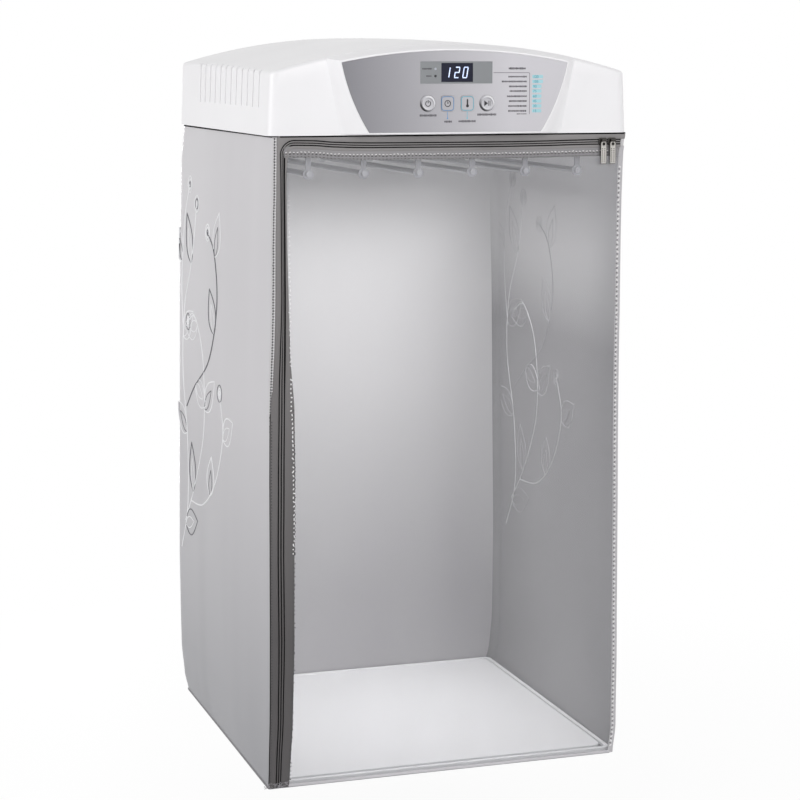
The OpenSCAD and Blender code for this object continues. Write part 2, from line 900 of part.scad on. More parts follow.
// A square key with rounded corners, and a flange behind the panel
module square_key(x) {
    color([0.74, 0.76, 0.8]) hung() {
        along_y(face_y - key_proud, flange_y + flange_t) translate([x, button_z])
            round_rect(key_w, key_h, key_corner);
        along_y(flange_y, flange_y + flange_t) translate([x, button_z])
            round_rect(key_w + 2 * flange_w, key_h + 2 * flange_w, key_corner);
        button_stem(x, key_travel);
    }
}

module power_button() { round_button(button_x[0]); }
module time_key() { square_key(button_x[1]); }
module temperature_key() { square_key(button_x[2]); }
module start_button() { round_button(button_x[3]); }

module ring(outer, inner, h) {
    difference() {
        cylinder(r = outer, h = h);
        translate([0, 0, -over]) cylinder(r = inner, h = h + 2 * over);
    }
}

module outlet_grille() {
    inner = outlet_r - grille_lip;
    color([0.3, 0.3, 0.32]) hung() translate([0, -fan_y, -grille_t]) difference() {
        union() {
            ring(grille_r, inner, grille_t);
            for (i = [1 : grille_rings])
                ring(i * inner / (grille_rings + 1) + grille_ring_w / 2,
                     i * inner / (grille_rings + 1) - grille_ring_w / 2, grille_t);
            for (a = [0 : 45 : 135]) rotate([0, 0, a])
                block([-outlet_r, -grille_arm_w / 2, 0], [outlet_r, grille_arm_w / 2, grille_t]);
        }
        translate([0, fan_y, grille_t]) grille_screw_holes(screw_r + screw_gap);
    }
}

// Open tube round the fan's axis
module air_tube(z0, z1) {
    translate([0, -fan_y, z0]) ring(duct_r + duct_t, duct_r, z1 - z0);
}

module heater_duct() {
    color([0.55, 0.55, 0.57]) hung() air_tube(duct_low, duct_top);
}

module heater_tray() {
    hole = heater_w - 2 * tray_lap;
    color(steel) hung() difference() {
        translate([0, -fan_y, tray_z]) cylinder(r = duct_r - seat_gap, h = tray_t);
        translate([0, -fan_y, tray_z]) cube([hole, hole, 4 * tray_t], center = true);
    }
}

// Finned elements between two end bars
module heater_core() {
    half = heater_w / 2;
    end_y = half - heater_bar / 2;
    fin_pitch = (heater_w - 2 * heater_edge) / (fin_count - 1);
    color([0.7, 0.55, 0.4]) hung() translate([0, -fan_y, heater_z]) union() {
        for (y = [-1, 1]) block([-half, y * end_y - heater_bar / 2, 0],
                                [half, y * end_y + heater_bar / 2, heater_h]);
        for (y = [-1, 0, 1]) block([-half, y * half / 2 - element_w / 2, heater_bar],
                                   [half, y * half / 2 + element_w / 2, heater_h - heater_bar]);
        for (i = [0 : fin_count - 1]) let (x = -half + heater_edge + i * fin_pitch)
            block([x - fin_t / 2, -half, 0], [x + fin_t / 2, half, heater_h]);
    }
}

module thermal_cutout() {
    color(black) hung() translate([duct_r + duct_t + seat_gap, -fan_y, duct_low + duct_h / 2])
        rotate([0, 90, 0]) {
            cylinder(r = cutout_r, h = cutout_h);
            translate([0, 0, cutout_h]) cylinder(r = cutout_cap_r, h = cutout_cap_h);
        }
}

module fan_shroud() {
    color(bright_steel) hung() air_tube(duct_top, shroud_top);
}

module motor_bracket() {
    color(steel) hung() translate([0, -fan_y, shroud_top]) linear_extrude(bracket_t) difference() {
        union() {
            difference() {
                circle(duct_r + duct_t);
                circle(duct_r - bracket_lip);
            }
            circle(motor_r + bracket_pad);
            for (a = [45, 135]) rotate(a) square([2 * duct_r, bracket_arm_w], center = true);
        }
        circle(shaft_r + shaft_room);
    }
}

module fan_motor() {
    can_h = motor_h - motor_cap_h;
    color(dark_grey) hung() translate([0, -fan_y, motor_low]) difference() {
        union() {
            cylinder(r = motor_r, h = can_h);
            translate([0, 0, can_h]) cylinder(r1 = motor_r, r2 = motor_r - motor_cap_in, h = motor_cap_h);
        }
        translate([0, 0, -over]) cylinder(r = shaft_r + shaft_gap, h = motor_h - bore_end + over);
    }
}

module fan_shaft() {
    z0 = fan_mid - fan_h / 2 - shaft_past;
    z1 = motor_low + motor_h - bore_end - rest_gap;
    color(bright_steel) hung() translate([0, -fan_y, z0]) cylinder(r = shaft_r, h = z1 - z0);
}

module fan() {
    span = duct_r - tip_gap;
    color(dark_grey) hung() translate([0, -fan_y, fan_mid]) difference() {
        union() {
            cylinder(r = hub_r, h = fan_h, center = true);
            intersection() {
                cylinder(r = span, h = fan_h, center = true);
                for (i = [0 : blade_count - 1]) rotate([0, 0, i * 360 / blade_count])
                    rotate([blade_angle, 0, 0])
                        block([hub_r - blade_root, -blade_w / 2, -blade_t / 2],
                              [span + blade_root, blade_w / 2, blade_t / 2]);
            }
        }
        cylinder(r = shaft_r + hub_fit, h = fan_h + 2 * over, center = true);
    }
}

// Power supply, with its three coils on top
module power_module() {
    top = base_t + module_h;
    color(dark_grey) hung() {
        block([module_x0, module_y0, base_t], [module_x1, module_y1, top]);
        for (i = [0 : 2]) let (x = module_x0 + coil_edge + i * coil_pitch)
            block([x, module_y0 + coil_edge, top], [x + coil_w, module_y1 - coil_edge, top + coil_h]);
    }
}

// Space of the gland's square neck, from the base plate up, grown by a gap and a lip
module gland_body(x0, x1, gap, lip) {
    half = gland_half + gap + lip;
    block([x0, -gland_y - half, gap > 0 ? -over : base_t], [x1, -gland_y + half, gland_z + half]);
}

// Gland that stands on the base plate in a notch of the right side wall: a square neck
// with a collar outside the wall and another inside it
module cord_gland() {
    inner_x = gland_wall_x - shell_t;
    color(black) hung() difference() {
        union() {
            gland_body(inner_x - gland_in, gland_wall_x + gland_out, 0, 0);
            gland_body(gland_wall_x + gland_face_gap, gland_wall_x + gland_out, 0, gland_lip);
            gland_body(inner_x - gland_inner_gap - gland_inner_t, inner_x - gland_inner_gap,
                       0, gland_lip);
        }
        bar_x(-gland_y, gland_z, inner_x - gland_in - over, gland_wall_x + gland_out + over, cord_hole_r);
    }
}

// The loom's run: forward over the base plate, up inside the front wall, then into the board
module wiring_loom() {
    color(screw_steel) hung() translate([loom_x, 0, 0]) union() {
        bar_y(0, loom_low, loom_front + loom_bend, module_y0 - seat_gap, loom_r);
        translate([0, loom_front + loom_bend, loom_low + loom_bend]) loom_elbow(270);
        translate([0, loom_front, loom_low + loom_bend])
            cylinder(r = loom_r, h = loom_high - loom_low - 2 * loom_bend);
        translate([0, loom_front - loom_bend, loom_high - loom_bend]) loom_elbow(90);
        bar_y(0, loom_high, board_y + board_t + seat_gap, loom_front - loom_bend, loom_r);
    }
}

module loom_elbow(turn) {
    rotate([0, 90, 0]) rotate([0, 0, turn])
        rotate_extrude(angle = 90) translate([loom_bend, 0]) circle(loom_r);
}

// Plate across the bag's top, with an arm and a hole for each rod
module comb(y) {
    difference() {
        along_y(y - comb_t / 2, y + comb_t / 2) union() {
            translate([-comb_half, -comb_h]) square([2 * comb_half, comb_h]);
            for (x = rod_x) {
                translate([x - comb_foot_r / 2, -rod_drop]) square([comb_foot_r, rod_drop - comb_h / 2]);
                translate([x, -rod_drop]) circle(comb_foot_r);
            }
        }
        for (x = rod_x) bar_y(x, -rod_drop, y - comb_t, y + comb_t, comb_hole_r);
    }
}

module front_comb() { color(steel) hung() comb(comb_front_y); }
module rear_comb() { color(steel) hung() comb(-comb_rear); }

module hanging_rod(i) {
    color(bright_steel) hung() bar_y(rod_x[i - 1], -rod_drop, rod_start, rod_end, rod_r);
}

module hanger_bar() {
    color(bright_steel) hung() difference() {
        bar_x(-fan_y, -bar_drop, -bar_half, bar_half, bar_r);
        bar_x(-fan_y, -bar_drop, -bar_half - over, bar_half + over, bar_r - bar_wall);
    }
}

module hanger_brackets() {
    color(steel) hung() for (x = [-bar_half - hanger_plate_t, bar_half])
        along_x(x, x + hanger_plate_t) union() {
            translate([-fan_y - hanger_pad_r, -bar_drop]) square([2 * hanger_pad_r, bar_drop]);
            translate([-fan_y, -bar_drop]) circle(hanger_pad_r);
        }
}

module bag_rail() {
    color(black) hung() difference() {
        block([-rail_half, rail_front, -rail_h], [rail_half, rail_back, 0]);
        block([-rail_half + rail_t, rail_front + rail_t, -rail_h - over],
              [rail_half - rail_t, rail_back - rail_t, over]);
    }
}

module side_cloth(side) {
    top = -bag_top_gap;
    color(cloth_grey) hung() along_y(side_front, bag_back)
        polygon([for (p = [[half_w(top), top], [half_w(-bag_h), -bag_h],
                           [half_w(-bag_h) - cloth_t, -bag_h], [half_w(top) - cloth_t, top]])
            [side * p[0], p[1]]]);
}

module bag_left() { side_cloth(-1); }
module bag_right() { side_cloth(1); }

module bag_back() {
    color(cloth_grey) hung() along_y(bag_back - cloth_t, bag_back)
        front_outline(cloth_t, -bag_top_gap, -bag_h);
}

module bag_floor() {
    half = half_w(-bag_h) - cloth_t - floor_clear;
    color(floor_grey) hung()
        block([-half, side_front, -bag_h], [half, bag_back - cloth_t, floor_z]);
}

module base_frame() {
    color(floor_grey) hung() difference() {
        block([-frame_half, frame_front, floor_z], [frame_half, frame_back, floor_z + floor_t]);
        block([-frame_half + frame_w, frame_front + frame_front_w, floor_z - over],
              [frame_half - frame_w, frame_back - frame_w, floor_z + floor_t + over]);
    }
}

module floor_plate() {
    w = 2 * (frame_half - frame_w - floor_gap);
    y0 = frame_front + frame_front_w + floor_gap;
    y1 = frame_back - frame_w - floor_gap;
    color(white) hung() translate([0, (y0 + y1) / 2, floor_z])
        linear_extrude(floor_t) round_rect(w, y1 - y0, floor_corner);
}

// Fixed cloth on the front: a strip over the door and one left of it, with a folded top hem
module front_band() {
    color(tape_grey) hung() {
        along_y(bag_front, bag_front + front_t) difference() {
            front_outline(0, -bag_top_gap, -bag_h);
            inside_zip(-row_high);
        }
        block([-rail_half, bag_front + front_t, band_fold_z], [rail_half, rail_front, -bag_top_gap]);
    }
}

// One row of teeth, between two insets from the zip's path
module teeth_row(outer, inner) {
    along_y(teeth_y - teeth_t / 2, teeth_y + teeth_t / 2) intersection() {
        difference() {
            inside_zip(outer);
            inside_zip(inner);
        }
        front_outline(hinge_in + teeth_side_end, 0, -bag_h + teeth_foot);
    }
}

module zip_teeth_fixed() {
    color(zip_grey) hung() teeth_row(-row_high, -row_low);
}

module zip_teeth_door() {
    color(zip_grey) hung() teeth_row(row_low, row_high);
}

module door_tape() {
    color(tape_grey) hung() along_y(bag_front, bag_front + front_t) intersection() {
        difference() {
            inside_zip(row_high);
            inside_zip(row_high + tape_w);
        }
        door_field();
    }
}

// The binding at the hinge and the hem at the foot
module door_strip_area() {
    difference() {
        door_field();
        front_outline(hinge_in + door_gap + binding_w, 0, -bag_h + door_gap + hem_h);
    }
}

module door_binding() {
    color([0.66, 0.66, 0.68]) hung() along_y(bag_front, bag_front + front_t) intersection() {
        inside_zip(row_high + tape_w);
        door_strip_area();
    }
}

module door_window() {
    color([0.85, 0.87, 0.9, 0.35]) hung() along_y(bag_front, bag_front + front_t) difference() {
        intersection() {
            inside_zip(row_high + tape_w);
            door_field();
        }
        door_strip_area();
    }
}

// A slider: front plate over both rows, a web between them, a back plate behind the door's row
module slider(x) {
    plate_front = slider_plate_y - slider_plate_t;
    back_end = slider_back_y + slider_back_t;
    color([0.45, 0.44, 0.44]) hung() {
        difference() {
            along_y(plate_front, slider_plate_y) translate([x, -zip_z])
                round_rect(slider_l, slider_h, slider_corner);
            along_y(plate_front - over, plate_front + groove_depth) translate([x, -zip_z - groove_drop])
                round_rect(slider_l - 2 * groove_h, groove_h, groove_h * 0.45);
        }
        block([x - slider_l / 2 + web_in, slider_plate_y - slider_lap, -zip_z - web_t / 2],
              [x + slider_l / 2 - web_in, back_end, -zip_z + web_t / 2]);
        block([x - slider_l / 2, slider_back_y, -zip_z - row_high],
              [x + slider_l / 2, back_end, -zip_z + web_t / 2]);
        for (s = [-1, 1]) along_x(x + s * ear_x - ear_t / 2, x + s * ear_x + ear_t / 2) union() {
            translate([pin_y, pin_z - ear_r]) square([plate_front - pin_y + slider_lap, 2 * ear_r]);
            translate([pin_y, pin_z]) circle(ear_r);
        }
        bar_x(pin_y, pin_z, x - ear_x, x + ear_x, pin_r);
    }
}

module slider_left() { slider(slider_left_x); }
module slider_right() { slider(slider_right_x); }

// A pull tab: knuckle on the slider's pin, a round eye plate and a long tongue
module pull_tab(x) {
    y0 = pin_y - tab_t / 2;
    color([0.6, 0.59, 0.58]) hung() difference() {
        union() {
            bar_x(pin_y, pin_z, x - neck_w / 2, x + neck_w / 2, knuckle_r);
            along_y(y0, y0 + tab_t) translate([x, pin_z]) union() {
                translate([-neck_w / 2, -neck_l]) square([neck_w, neck_l]);
                translate([0, -eye_drop]) circle(eye_r);
                translate([0, -(tab_l + tongue_top) / 2])
                    round_rect(tab_w, tab_l - tongue_top, tongue_corner);
            }
        }
        bar_x(pin_y, pin_z, x - neck_w, x + neck_w, pin_r + pin_gap);
        bar_y(x, pin_z - eye_drop, y0 - over, y0 + tab_t + over, eye_hole_r);
    }
}

module pull_tab_left() { pull_tab(slider_left_x); }
module pull_tab_right() { pull_tab(slider_right_x); }

module cover_screws() {
    color(screw_steel) hung() for (x = [-1, 1]) for (y = cover_screw_y)
        translate([x * cover_screw_x, y, 0]) {
            translate([0, 0, -screw_head_t]) cylinder(r = screw_head_r, h = screw_head_t);
            cylinder(r = cover_screw_r, h = cover_shank);
        }
}

module board_screws() {
    color(screw_steel) hung() {
        board_bars(board_y + board_t, board_y + board_t + board_head_t, board_head_r);
        board_bars(board_y - board_screw_reach, board_y + board_t, screw_r);
    }
}

module grille_screws() {
    color(screw_steel) hung() grille_screw_places() {
        translate([0, 0, -grille_t - grille_head_t]) cylinder(r = grille_head_r, h = grille_head_t);
        translate([0, 0, -grille_t]) cylinder(r = screw_r, h = grille_t + base_t);
    }
}

wall_plate();
rear_panel();
head_base();
head_cover();
front_fascia();
control_panel();
display_window();
display_module();
display_digits();
indicator_lenses();
control_board();
key_switches();
power_button();
time_key();
temperature_key();
start_button();
outlet_grille();
heater_duct();
heater_tray();
heater_core();
thermal_cutout();
fan_shroud();
motor_bracket();
fan_motor();
fan_shaft();
fan();
power_module();
cord_gland();
wiring_loom();
front_comb();
rear_comb();
for (i = [1 : rod_count]) hanging_rod(i);
hanger_bar();
hanger_brackets();
bag_rail();
bag_left();
bag_right();
bag_back();
bag_floor();
floor_plate();
base_frame();
front_band();
zip_teeth_fixed();
zip_teeth_door();
door_tape();
door_window();
door_binding();
slider_left();
slider_right();
pull_tab_left();
pull_tab_right();
cover_screws();
board_screws();
grille_screws();
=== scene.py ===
"""Wall-hung fabric clothes dryer: the looks of its head, panel, bag, door and zip.

Heights are written above the head's lower edge, in millimetres, as on the drawings of the head.
"""

import math
import random

import bmesh
import bpy
from mathutils import Matrix, Vector, noise


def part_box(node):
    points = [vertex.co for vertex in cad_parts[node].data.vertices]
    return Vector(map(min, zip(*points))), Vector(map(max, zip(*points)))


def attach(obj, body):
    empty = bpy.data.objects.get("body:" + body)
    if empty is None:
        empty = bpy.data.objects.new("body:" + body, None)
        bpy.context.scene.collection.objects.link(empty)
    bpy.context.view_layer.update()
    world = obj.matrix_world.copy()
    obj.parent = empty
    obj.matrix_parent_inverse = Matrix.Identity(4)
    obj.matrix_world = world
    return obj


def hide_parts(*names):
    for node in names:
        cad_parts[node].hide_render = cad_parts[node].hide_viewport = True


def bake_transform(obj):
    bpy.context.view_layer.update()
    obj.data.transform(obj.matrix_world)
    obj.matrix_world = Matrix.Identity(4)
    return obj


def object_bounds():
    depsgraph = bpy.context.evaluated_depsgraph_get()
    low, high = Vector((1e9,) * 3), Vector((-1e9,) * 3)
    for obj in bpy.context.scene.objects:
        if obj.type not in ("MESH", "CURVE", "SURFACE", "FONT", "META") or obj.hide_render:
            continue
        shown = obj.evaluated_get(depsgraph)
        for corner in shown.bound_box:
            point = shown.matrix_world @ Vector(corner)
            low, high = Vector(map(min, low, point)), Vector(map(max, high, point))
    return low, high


bl_info = {
    "name": "Fabric clothes dryer",
    "version": (1, 0, 0),
    "blender": (4, 5, 0),
    "location": "View3D > Sidebar > Dryer",
    "description": "Builds the cover, panel, zipped bag and clear door round the dryer's frame",
    "category": "Object",
}

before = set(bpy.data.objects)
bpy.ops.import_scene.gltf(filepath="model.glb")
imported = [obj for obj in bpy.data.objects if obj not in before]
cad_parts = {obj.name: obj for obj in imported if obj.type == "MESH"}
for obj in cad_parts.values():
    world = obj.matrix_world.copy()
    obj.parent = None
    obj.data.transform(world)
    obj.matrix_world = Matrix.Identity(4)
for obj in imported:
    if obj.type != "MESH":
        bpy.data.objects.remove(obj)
CAD_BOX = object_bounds()

MM = 0.001
HEAD_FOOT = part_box("head_base")[0].z
BODY = "cabinet"
DOOR = "door"

# Head sizes in millimetres
HEAD_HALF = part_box("head_base")[1].x / MM
HEAD_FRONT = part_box("head_cover")[0].y / MM
HEAD_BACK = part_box("head_cover")[1].y / MM
SIDE_HEIGHT = 96.7
DRAFT = 4
ROOF_RISE = 41.3
ROOF_FALL = 10.9
CROWN_Y = -5
BASE_PLATE = 2.5
FACE_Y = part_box("control_panel")[0].y / MM

# Bag sizes in millimetres
BAG_TOP = -2
BAG_FOOT = (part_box("bag_left")[0].z - HEAD_FOOT) / MM
BAG_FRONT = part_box("door_window")[0].y / MM
SIDE_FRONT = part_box("bag_left")[0].y / MM
BAG_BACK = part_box("bag_left")[1].y / MM
TOP_HALF = 265
FOOT_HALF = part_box("bag_right")[1].x / MM
ZIP_X = -255
ZIP_Z = -13
ZIP_BEND = 17
ROW_OUTER = 4.6
FORWARD = Vector((0, -1, 0))


def at(x, y, z):
    """Point in the row frame, in metres, from millimetres and a height above the head's lower edge."""
    return Vector((x * MM, y * MM, z * MM + HEAD_FOOT))


def mix(a, b, t):
    return a + (b - a) * t


def steps(a, b, count):
    """Even steps from a to b, both ends included."""
    return [mix(a, b, k / count) for k in range(count + 1)]


def turns(count):
    """Even angles round a full turn."""
    return [math.tau * k / count for k in range(count)]


def smooth_step(t):
    t = min(max(t, 0.0), 1.0)
    return t * t * (3 - 2 * t)


def tone(red, green, blue):
    """Linear colour from the 0 to 255 values of a screen colour."""
    def line(c):
        c /= 255
        return c / 12.92 if c <= 0.04045 else ((c + 0.055) / 1.055) ** 2.4
    return (line(red), line(green), line(blue), 1.0)


# Settings that a user would change


class DryerHeadSettings(bpy.types.PropertyGroup):
    corner_radius: bpy.props.FloatProperty(
        name="Corner radius", description="Radius of the head's front corners, in millimetres",
        default=13, min=6, max=24)
    edge_radius: bpy.props.FloatProperty(
        name="Roof edge radius", description="Rounding between the roof and the walls, in millimetres",
        default=6, min=2, max=10)
    shell: bpy.props.FloatProperty(
        name="Wall", description="Thickness of the moulded cover, in millimetres",
        default=2.5, min=2, max=3.5)
    slot_count: bpy.props.IntProperty(
        name="Slots", description="Number of air slots on each side", default=12, min=6, max=12)
    slot_width: bpy.props.FloatProperty(
        name="Slot width", description="Width of one air slot, in millimetres",
        default=4.6, min=3, max=8)
    colour: bpy.props.FloatVectorProperty(
        name="Cover colour", description="Colour of the moulded white parts", subtype="COLOR",
        size=4, default=tone(240, 239, 241), min=0, max=1)
    # The two panel colours hold painted light: the left one painted shade, the right one painted
    # reflection, over the panel's own gradient.
    panel_left_painted_shade: bpy.props.FloatVectorProperty(
        name="Panel, left", description="Colour of the silver panel at its left end",
        subtype="COLOR", size=4, default=tone(110, 109, 115), min=0, max=1)
    panel_right_painted_light: bpy.props.FloatVectorProperty(
        name="Panel, right", description="Colour of the silver panel at its right end",
        subtype="COLOR", size=4, default=tone(190, 188, 193), min=0, max=1)


class DryerBagSettings(bpy.types.PropertyGroup):
    billow: bpy.props.FloatProperty(
        name="Billow", description="How far the side cloths stand out at their rear edge, in millimetres",
        default=14.6, min=0, max=18)
    ripple: bpy.props.FloatProperty(
        name="Ripple", description="Height of the soft waves in the cloth, in millimetres",
        default=1.4, min=0, max=4)
    stitch_pitch: bpy.props.FloatProperty(
        name="Stitch pitch", description="Distance from stitch to stitch, in millimetres",
        default=4.2, min=2, max=8)
    tooth_pitch: bpy.props.FloatProperty(
        name="Tooth pitch", description="Distance from zip tooth to zip tooth, in millimetres",
        default=2.2, min=1.4, max=4)
    cloth_colour: bpy.props.FloatVectorProperty(
        name="Cloth colour", description="Colour of the silver-grey side cloths",
        subtype="COLOR", size=4, default=tone(206, 204, 207), min=0, max=1)
    tape_colour: bpy.props.FloatVectorProperty(
        name="Tape colour", description="Colour of the dark tape round the zip",
        subtype="COLOR", size=4, default=tone(136, 133, 133), min=0, max=1)
    # Painted shade: the side cloths' colour darkens to this one towards the bag's foot.
    cloth_foot_painted_shade: bpy.props.FloatVectorProperty(
        name="Cloth colour, foot", description="Colour of the side cloths at the bag's foot",
        subtype="COLOR", size=4, default=tone(152, 152, 156), min=0, max=1)
    # Painted shade: the tape's colour darkens to this one towards the bag's foot.
    tape_foot_painted_shade: bpy.props.FloatVectorProperty(
        name="Tape colour, foot", description="Colour of the dark tape at the bag's foot",
        subtype="COLOR", size=4, default=tone(78, 75, 76), min=0, max=1)


class DryerStageSettings(bpy.types.PropertyGroup):
    floor_drop: bpy.props.FloatProperty(
        name="Floor drop", description="Distance from the bag's foot down to the floor",
        default=0.22, min=0, max=1, unit="LENGTH")
    sky: bpy.props.FloatProperty(
        name="Sky light", description="Strength of the even light from all round",
        default=0.5, min=0, max=2)
    key_power: bpy.props.FloatProperty(
        name="Key light", description="Power of the large soft light in front", default=40,
        min=0, max=500, unit="POWER")
    side_power: bpy.props.FloatProperty(
        name="Side light", description="Power of the soft light on the left", default=38,
        min=0, max=500, unit="POWER")
    upper_power: bpy.props.FloatProperty(
        name="Upper light", description="Power of the wide light under the rods", unit="POWER",
        default=0.55, min=0)
    back_power: bpy.props.FloatProperty(
        name="Back light", description="Power of the soft light behind the dryer", unit="POWER",
        default=30, min=0)
    inner_power: bpy.props.FloatProperty(
        name="Inner light", description="Power of the soft light inside the bag",
        default=1.6, min=0, max=500, unit="POWER")


def head_settings():
    return bpy.context.scene.dryer_head


def bag_settings():
    return bpy.context.scene.dryer_bag


# Shader nodes, and the groups for effects that several materials share


def feed(tree, socket, value):
    """Links an input to another node's socket, or sets its value."""
    if isinstance(value, bpy.types.NodeSocket):
        tree.links.new(value, socket)
    else:
        socket.default_value = value


def feed_all(tree, made, **values):
    """Feeds a node's inputs by their names, in which an underscore stands for a space."""
    for key, value in values.items():
        feed(tree, made.inputs[key.replace("_", " ")], value)


def node(tree, kind, settings=None, **values):
    """Adds a node; settings are its own properties, values go to its named inputs."""
    made = tree.nodes.new(kind)
    for key, value in (settings or {}).items():
        setattr(made, key, value)
    feed_all(tree, made, **values)
    return made


def operate(tree, kind, operation, *operands):
    """A Math or Vector Math node, whose operands are sockets or values."""
    made = node(tree, kind, {"operation": operation})
    for socket, value in zip(made.inputs, operands):
        feed(tree, socket, value)
    return made.outputs


def maths(tree, operation, *operands):
    return operate(tree, "ShaderNodeMath", operation, *operands)[0]


def spread(tree, value, low, high, start=0.3, end=0.7):
    """Map Range to low..high; the usual start and end suit the middle part of a noise."""
    return node(tree, "ShaderNodeMapRange", Value=value, From_Min=start, From_Max=end, To_Min=low,
                To_Max=high).outputs["Result"]


def blend_colours(tree, factor, a, b):
    return node(tree, "ShaderNodeMix", {"data_type": "RGBA"}, Factor=factor, A=a,
                B=b).outputs["Result"]


def object_place(tree):
    return node(tree, "ShaderNodeTexCoord").outputs["Object"]


def mapped(tree, **values):
    """Object coordinates, scaled or turned."""
    return node(tree, "ShaderNodeMapping", Vector=object_place(tree), **values).outputs[0]


def axis(tree, letter):
    """One object coordinate."""
    return node(tree, "ShaderNodeSeparateXYZ", Vector=object_place(tree)).outputs[letter]


def noise_value(tree, scale, detail, place=None):
    """Noise in object coordinates, or at another place."""
    return node(tree, "ShaderNodeTexNoise", Scale=scale, Detail=detail,
                Vector=object_place(tree) if place is None else place).outputs["Fac"]


def shaded(tree, colour, share):
    """A colour times a share."""
    made = node(tree, "ShaderNodeVectorMath", {"operation": "SCALE"}, Scale=share)
    feed(tree, made.inputs[0], colour)
    return made.outputs[0]


def new_group(name, inputs, outputs):
    """An empty shader group; returns it, the sockets of its inputs and its output node."""
    group = bpy.data.node_groups.new(name, "ShaderNodeTree")
    for label, kind, value in inputs:
        socket = group.interface.new_socket(label, in_out="INPUT", socket_type=kind)
        socket.default_value = value
    for label, kind in outputs:
        group.interface.new_socket(label, in_out="OUTPUT", socket_type=kind)
    return group, group.nodes.new("NodeGroupInput").outputs, group.nodes.new("NodeGroupOutput")


def grain_group():
    """Fine moulded grain with slow, slight changes of tone and gloss."""
    group, given, out = new_group(
        "Moulded grain",
        [("Colour", "NodeSocketColor", (0.8, 0.8, 0.8, 1)), ("Shade", "NodeSocketFloat", 0.96),
         ("Grain scale", "NodeSocketFloat", 900.0), ("Gloss low", "NodeSocketFloat", 0.3),
         ("Gloss high", "NodeSocketFloat", 0.4)],
        [("Colour", "NodeSocketColor"), ("Roughness", "NodeSocketFloat"),
         ("Height", "NodeSocketFloat")])
    slow = noise_value(group, 7.0, 3.0)
    dark = shaded(group, given["Colour"], given["Shade"])
    feed_all(group, out,
             Colour=blend_colours(group, spread(group, slow, 0.0, 1.0), given["Colour"], dark),
             Roughness=spread(group, slow, given["Gloss low"], given["Gloss high"]),
             Height=noise_value(group, given["Grain scale"], 2.0))
    return group


def weave_group():
    """Plain weave of crossing threads, with slow bands of lighter and darker cloth."""
    group, given, out = new_group(
        "Plain weave",
        [("Colour", "NodeSocketColor", (0.5, 0.5, 0.5, 1)), ("Shade", "NodeSocketFloat", 0.85),
         ("Threads per metre", "NodeSocketFloat", 1400.0), ("Band scale", "NodeSocketFloat", 4.0)],
        [("Colour", "NodeSocketColor"), ("Height", "NodeSocketFloat"),
         ("Mask", "NodeSocketFloat")])
    across = maths(group, "ADD", axis(group, "X"), axis(group, "Y"))
    rate = maths(group, "MULTIPLY", given["Threads per metre"], math.pi)
    warp, weft = (maths(group, "SINE", maths(group, "MULTIPLY", along, rate))
                  for along in (across, axis(group, "Z")))
    height = maths(group, "ABSOLUTE", maths(group, "MULTIPLY", warp, weft))
    tall = mapped(group, Scale=(1.0, 1.0, 0.12))
    band = spread(group, noise_value(group, given["Band scale"], 2.0, tall), 0.0, 1.0)
    worn = maths(group, "ADD", maths(group, "MULTIPLY", band, 0.75),
                 maths(group, "MULTIPLY", height, 0.25))
    dark = shaded(group, given["Colour"], given["Shade"])
    feed_all(group, out, Colour=blend_colours(group, worn, given["Colour"], dark), Height=height,
             Mask=band)
    return group


def brushed_group():
    """Long fine lines of brushed or drawn metal."""
    group, given, out = new_group(
        "Drawn metal",
        [("Direction scale", "NodeSocketVector", (1.0, 40.0, 40.0)),
         ("Gloss low", "NodeSocketFloat", 0.25), ("Gloss high", "NodeSocketFloat", 0.45)],
        [("Roughness", "NodeSocketFloat"), ("Height", "NodeSocketFloat")])
    scaled = operate(group, "ShaderNodeVectorMath", "MULTIPLY", object_place(group),
                     given["Direction scale"])[0]
    lines = noise_value(group, 30.0, 4.0, scaled)
    feed_all(group, out, Height=lines,
             Roughness=spread(group, lines, given["Gloss low"], given["Gloss high"]))
    return group


def painted_bevel_light_group():
    """Mask of how far a surface turns up and to the right, half-way where it faces forward: it drives
    painted shade and a painted highlight on bevels.
    """
    group, _, out = new_group("Slant", [], [("Mask", "NodeSocketFloat")])
    facing = node(group, "ShaderNodeNewGeometry").outputs["Normal"]
    turn = operate(group, "ShaderNodeVectorMath", "DOT_PRODUCT", facing, (0.75, 0, 0.66))
    feed_all(group, out, Mask=spread(group, turn["Value"], 0.0, 1.0, start=-0.6, end=0.6))
    return group


GROUPS = {}


def place_group(tree, builder, **values):
    """Sockets that a builder's group puts out; the group itself is made once."""
    if builder.__name__ not in GROUPS:
        GROUPS[builder.__name__] = builder()
    shared = {"node_tree": GROUPS[builder.__name__]}
    return node(tree, "ShaderNodeGroup", shared, **values).outputs


def new_material(name):
    material = bpy.data.materials.new(name)
    material.use_nodes = True
    tree = material.node_tree
    tree.nodes.clear()
    shader = tree.nodes.new("ShaderNodeBsdfPrincipled")
    out = node(tree, "ShaderNodeOutputMaterial", Surface=shader.outputs["BSDF"])
    return material, tree, shader, out


def bump(tree, shader, height, strength, distance):
    raised = node(tree, "ShaderNodeBump", Strength=strength, Distance=distance, Height=height)
    feed_all(tree, shader, Normal=raised.outputs["Normal"])


MATERIALS = {}
FINE_BUMP = 0.00001


def finish(fill):
    """Turns a function that fills a material's nodes into one that returns the finished material.

    The new function takes the material's name first, and fills each name once.
    """
    def material_of(name, *values, **options):
        if name not in MATERIALS:
            material, tree, shader, _ = new_material(name)
            fill(tree, shader, *values, **options)
            MATERIALS[name] = material
        return MATERIALS[name]
    return material_of


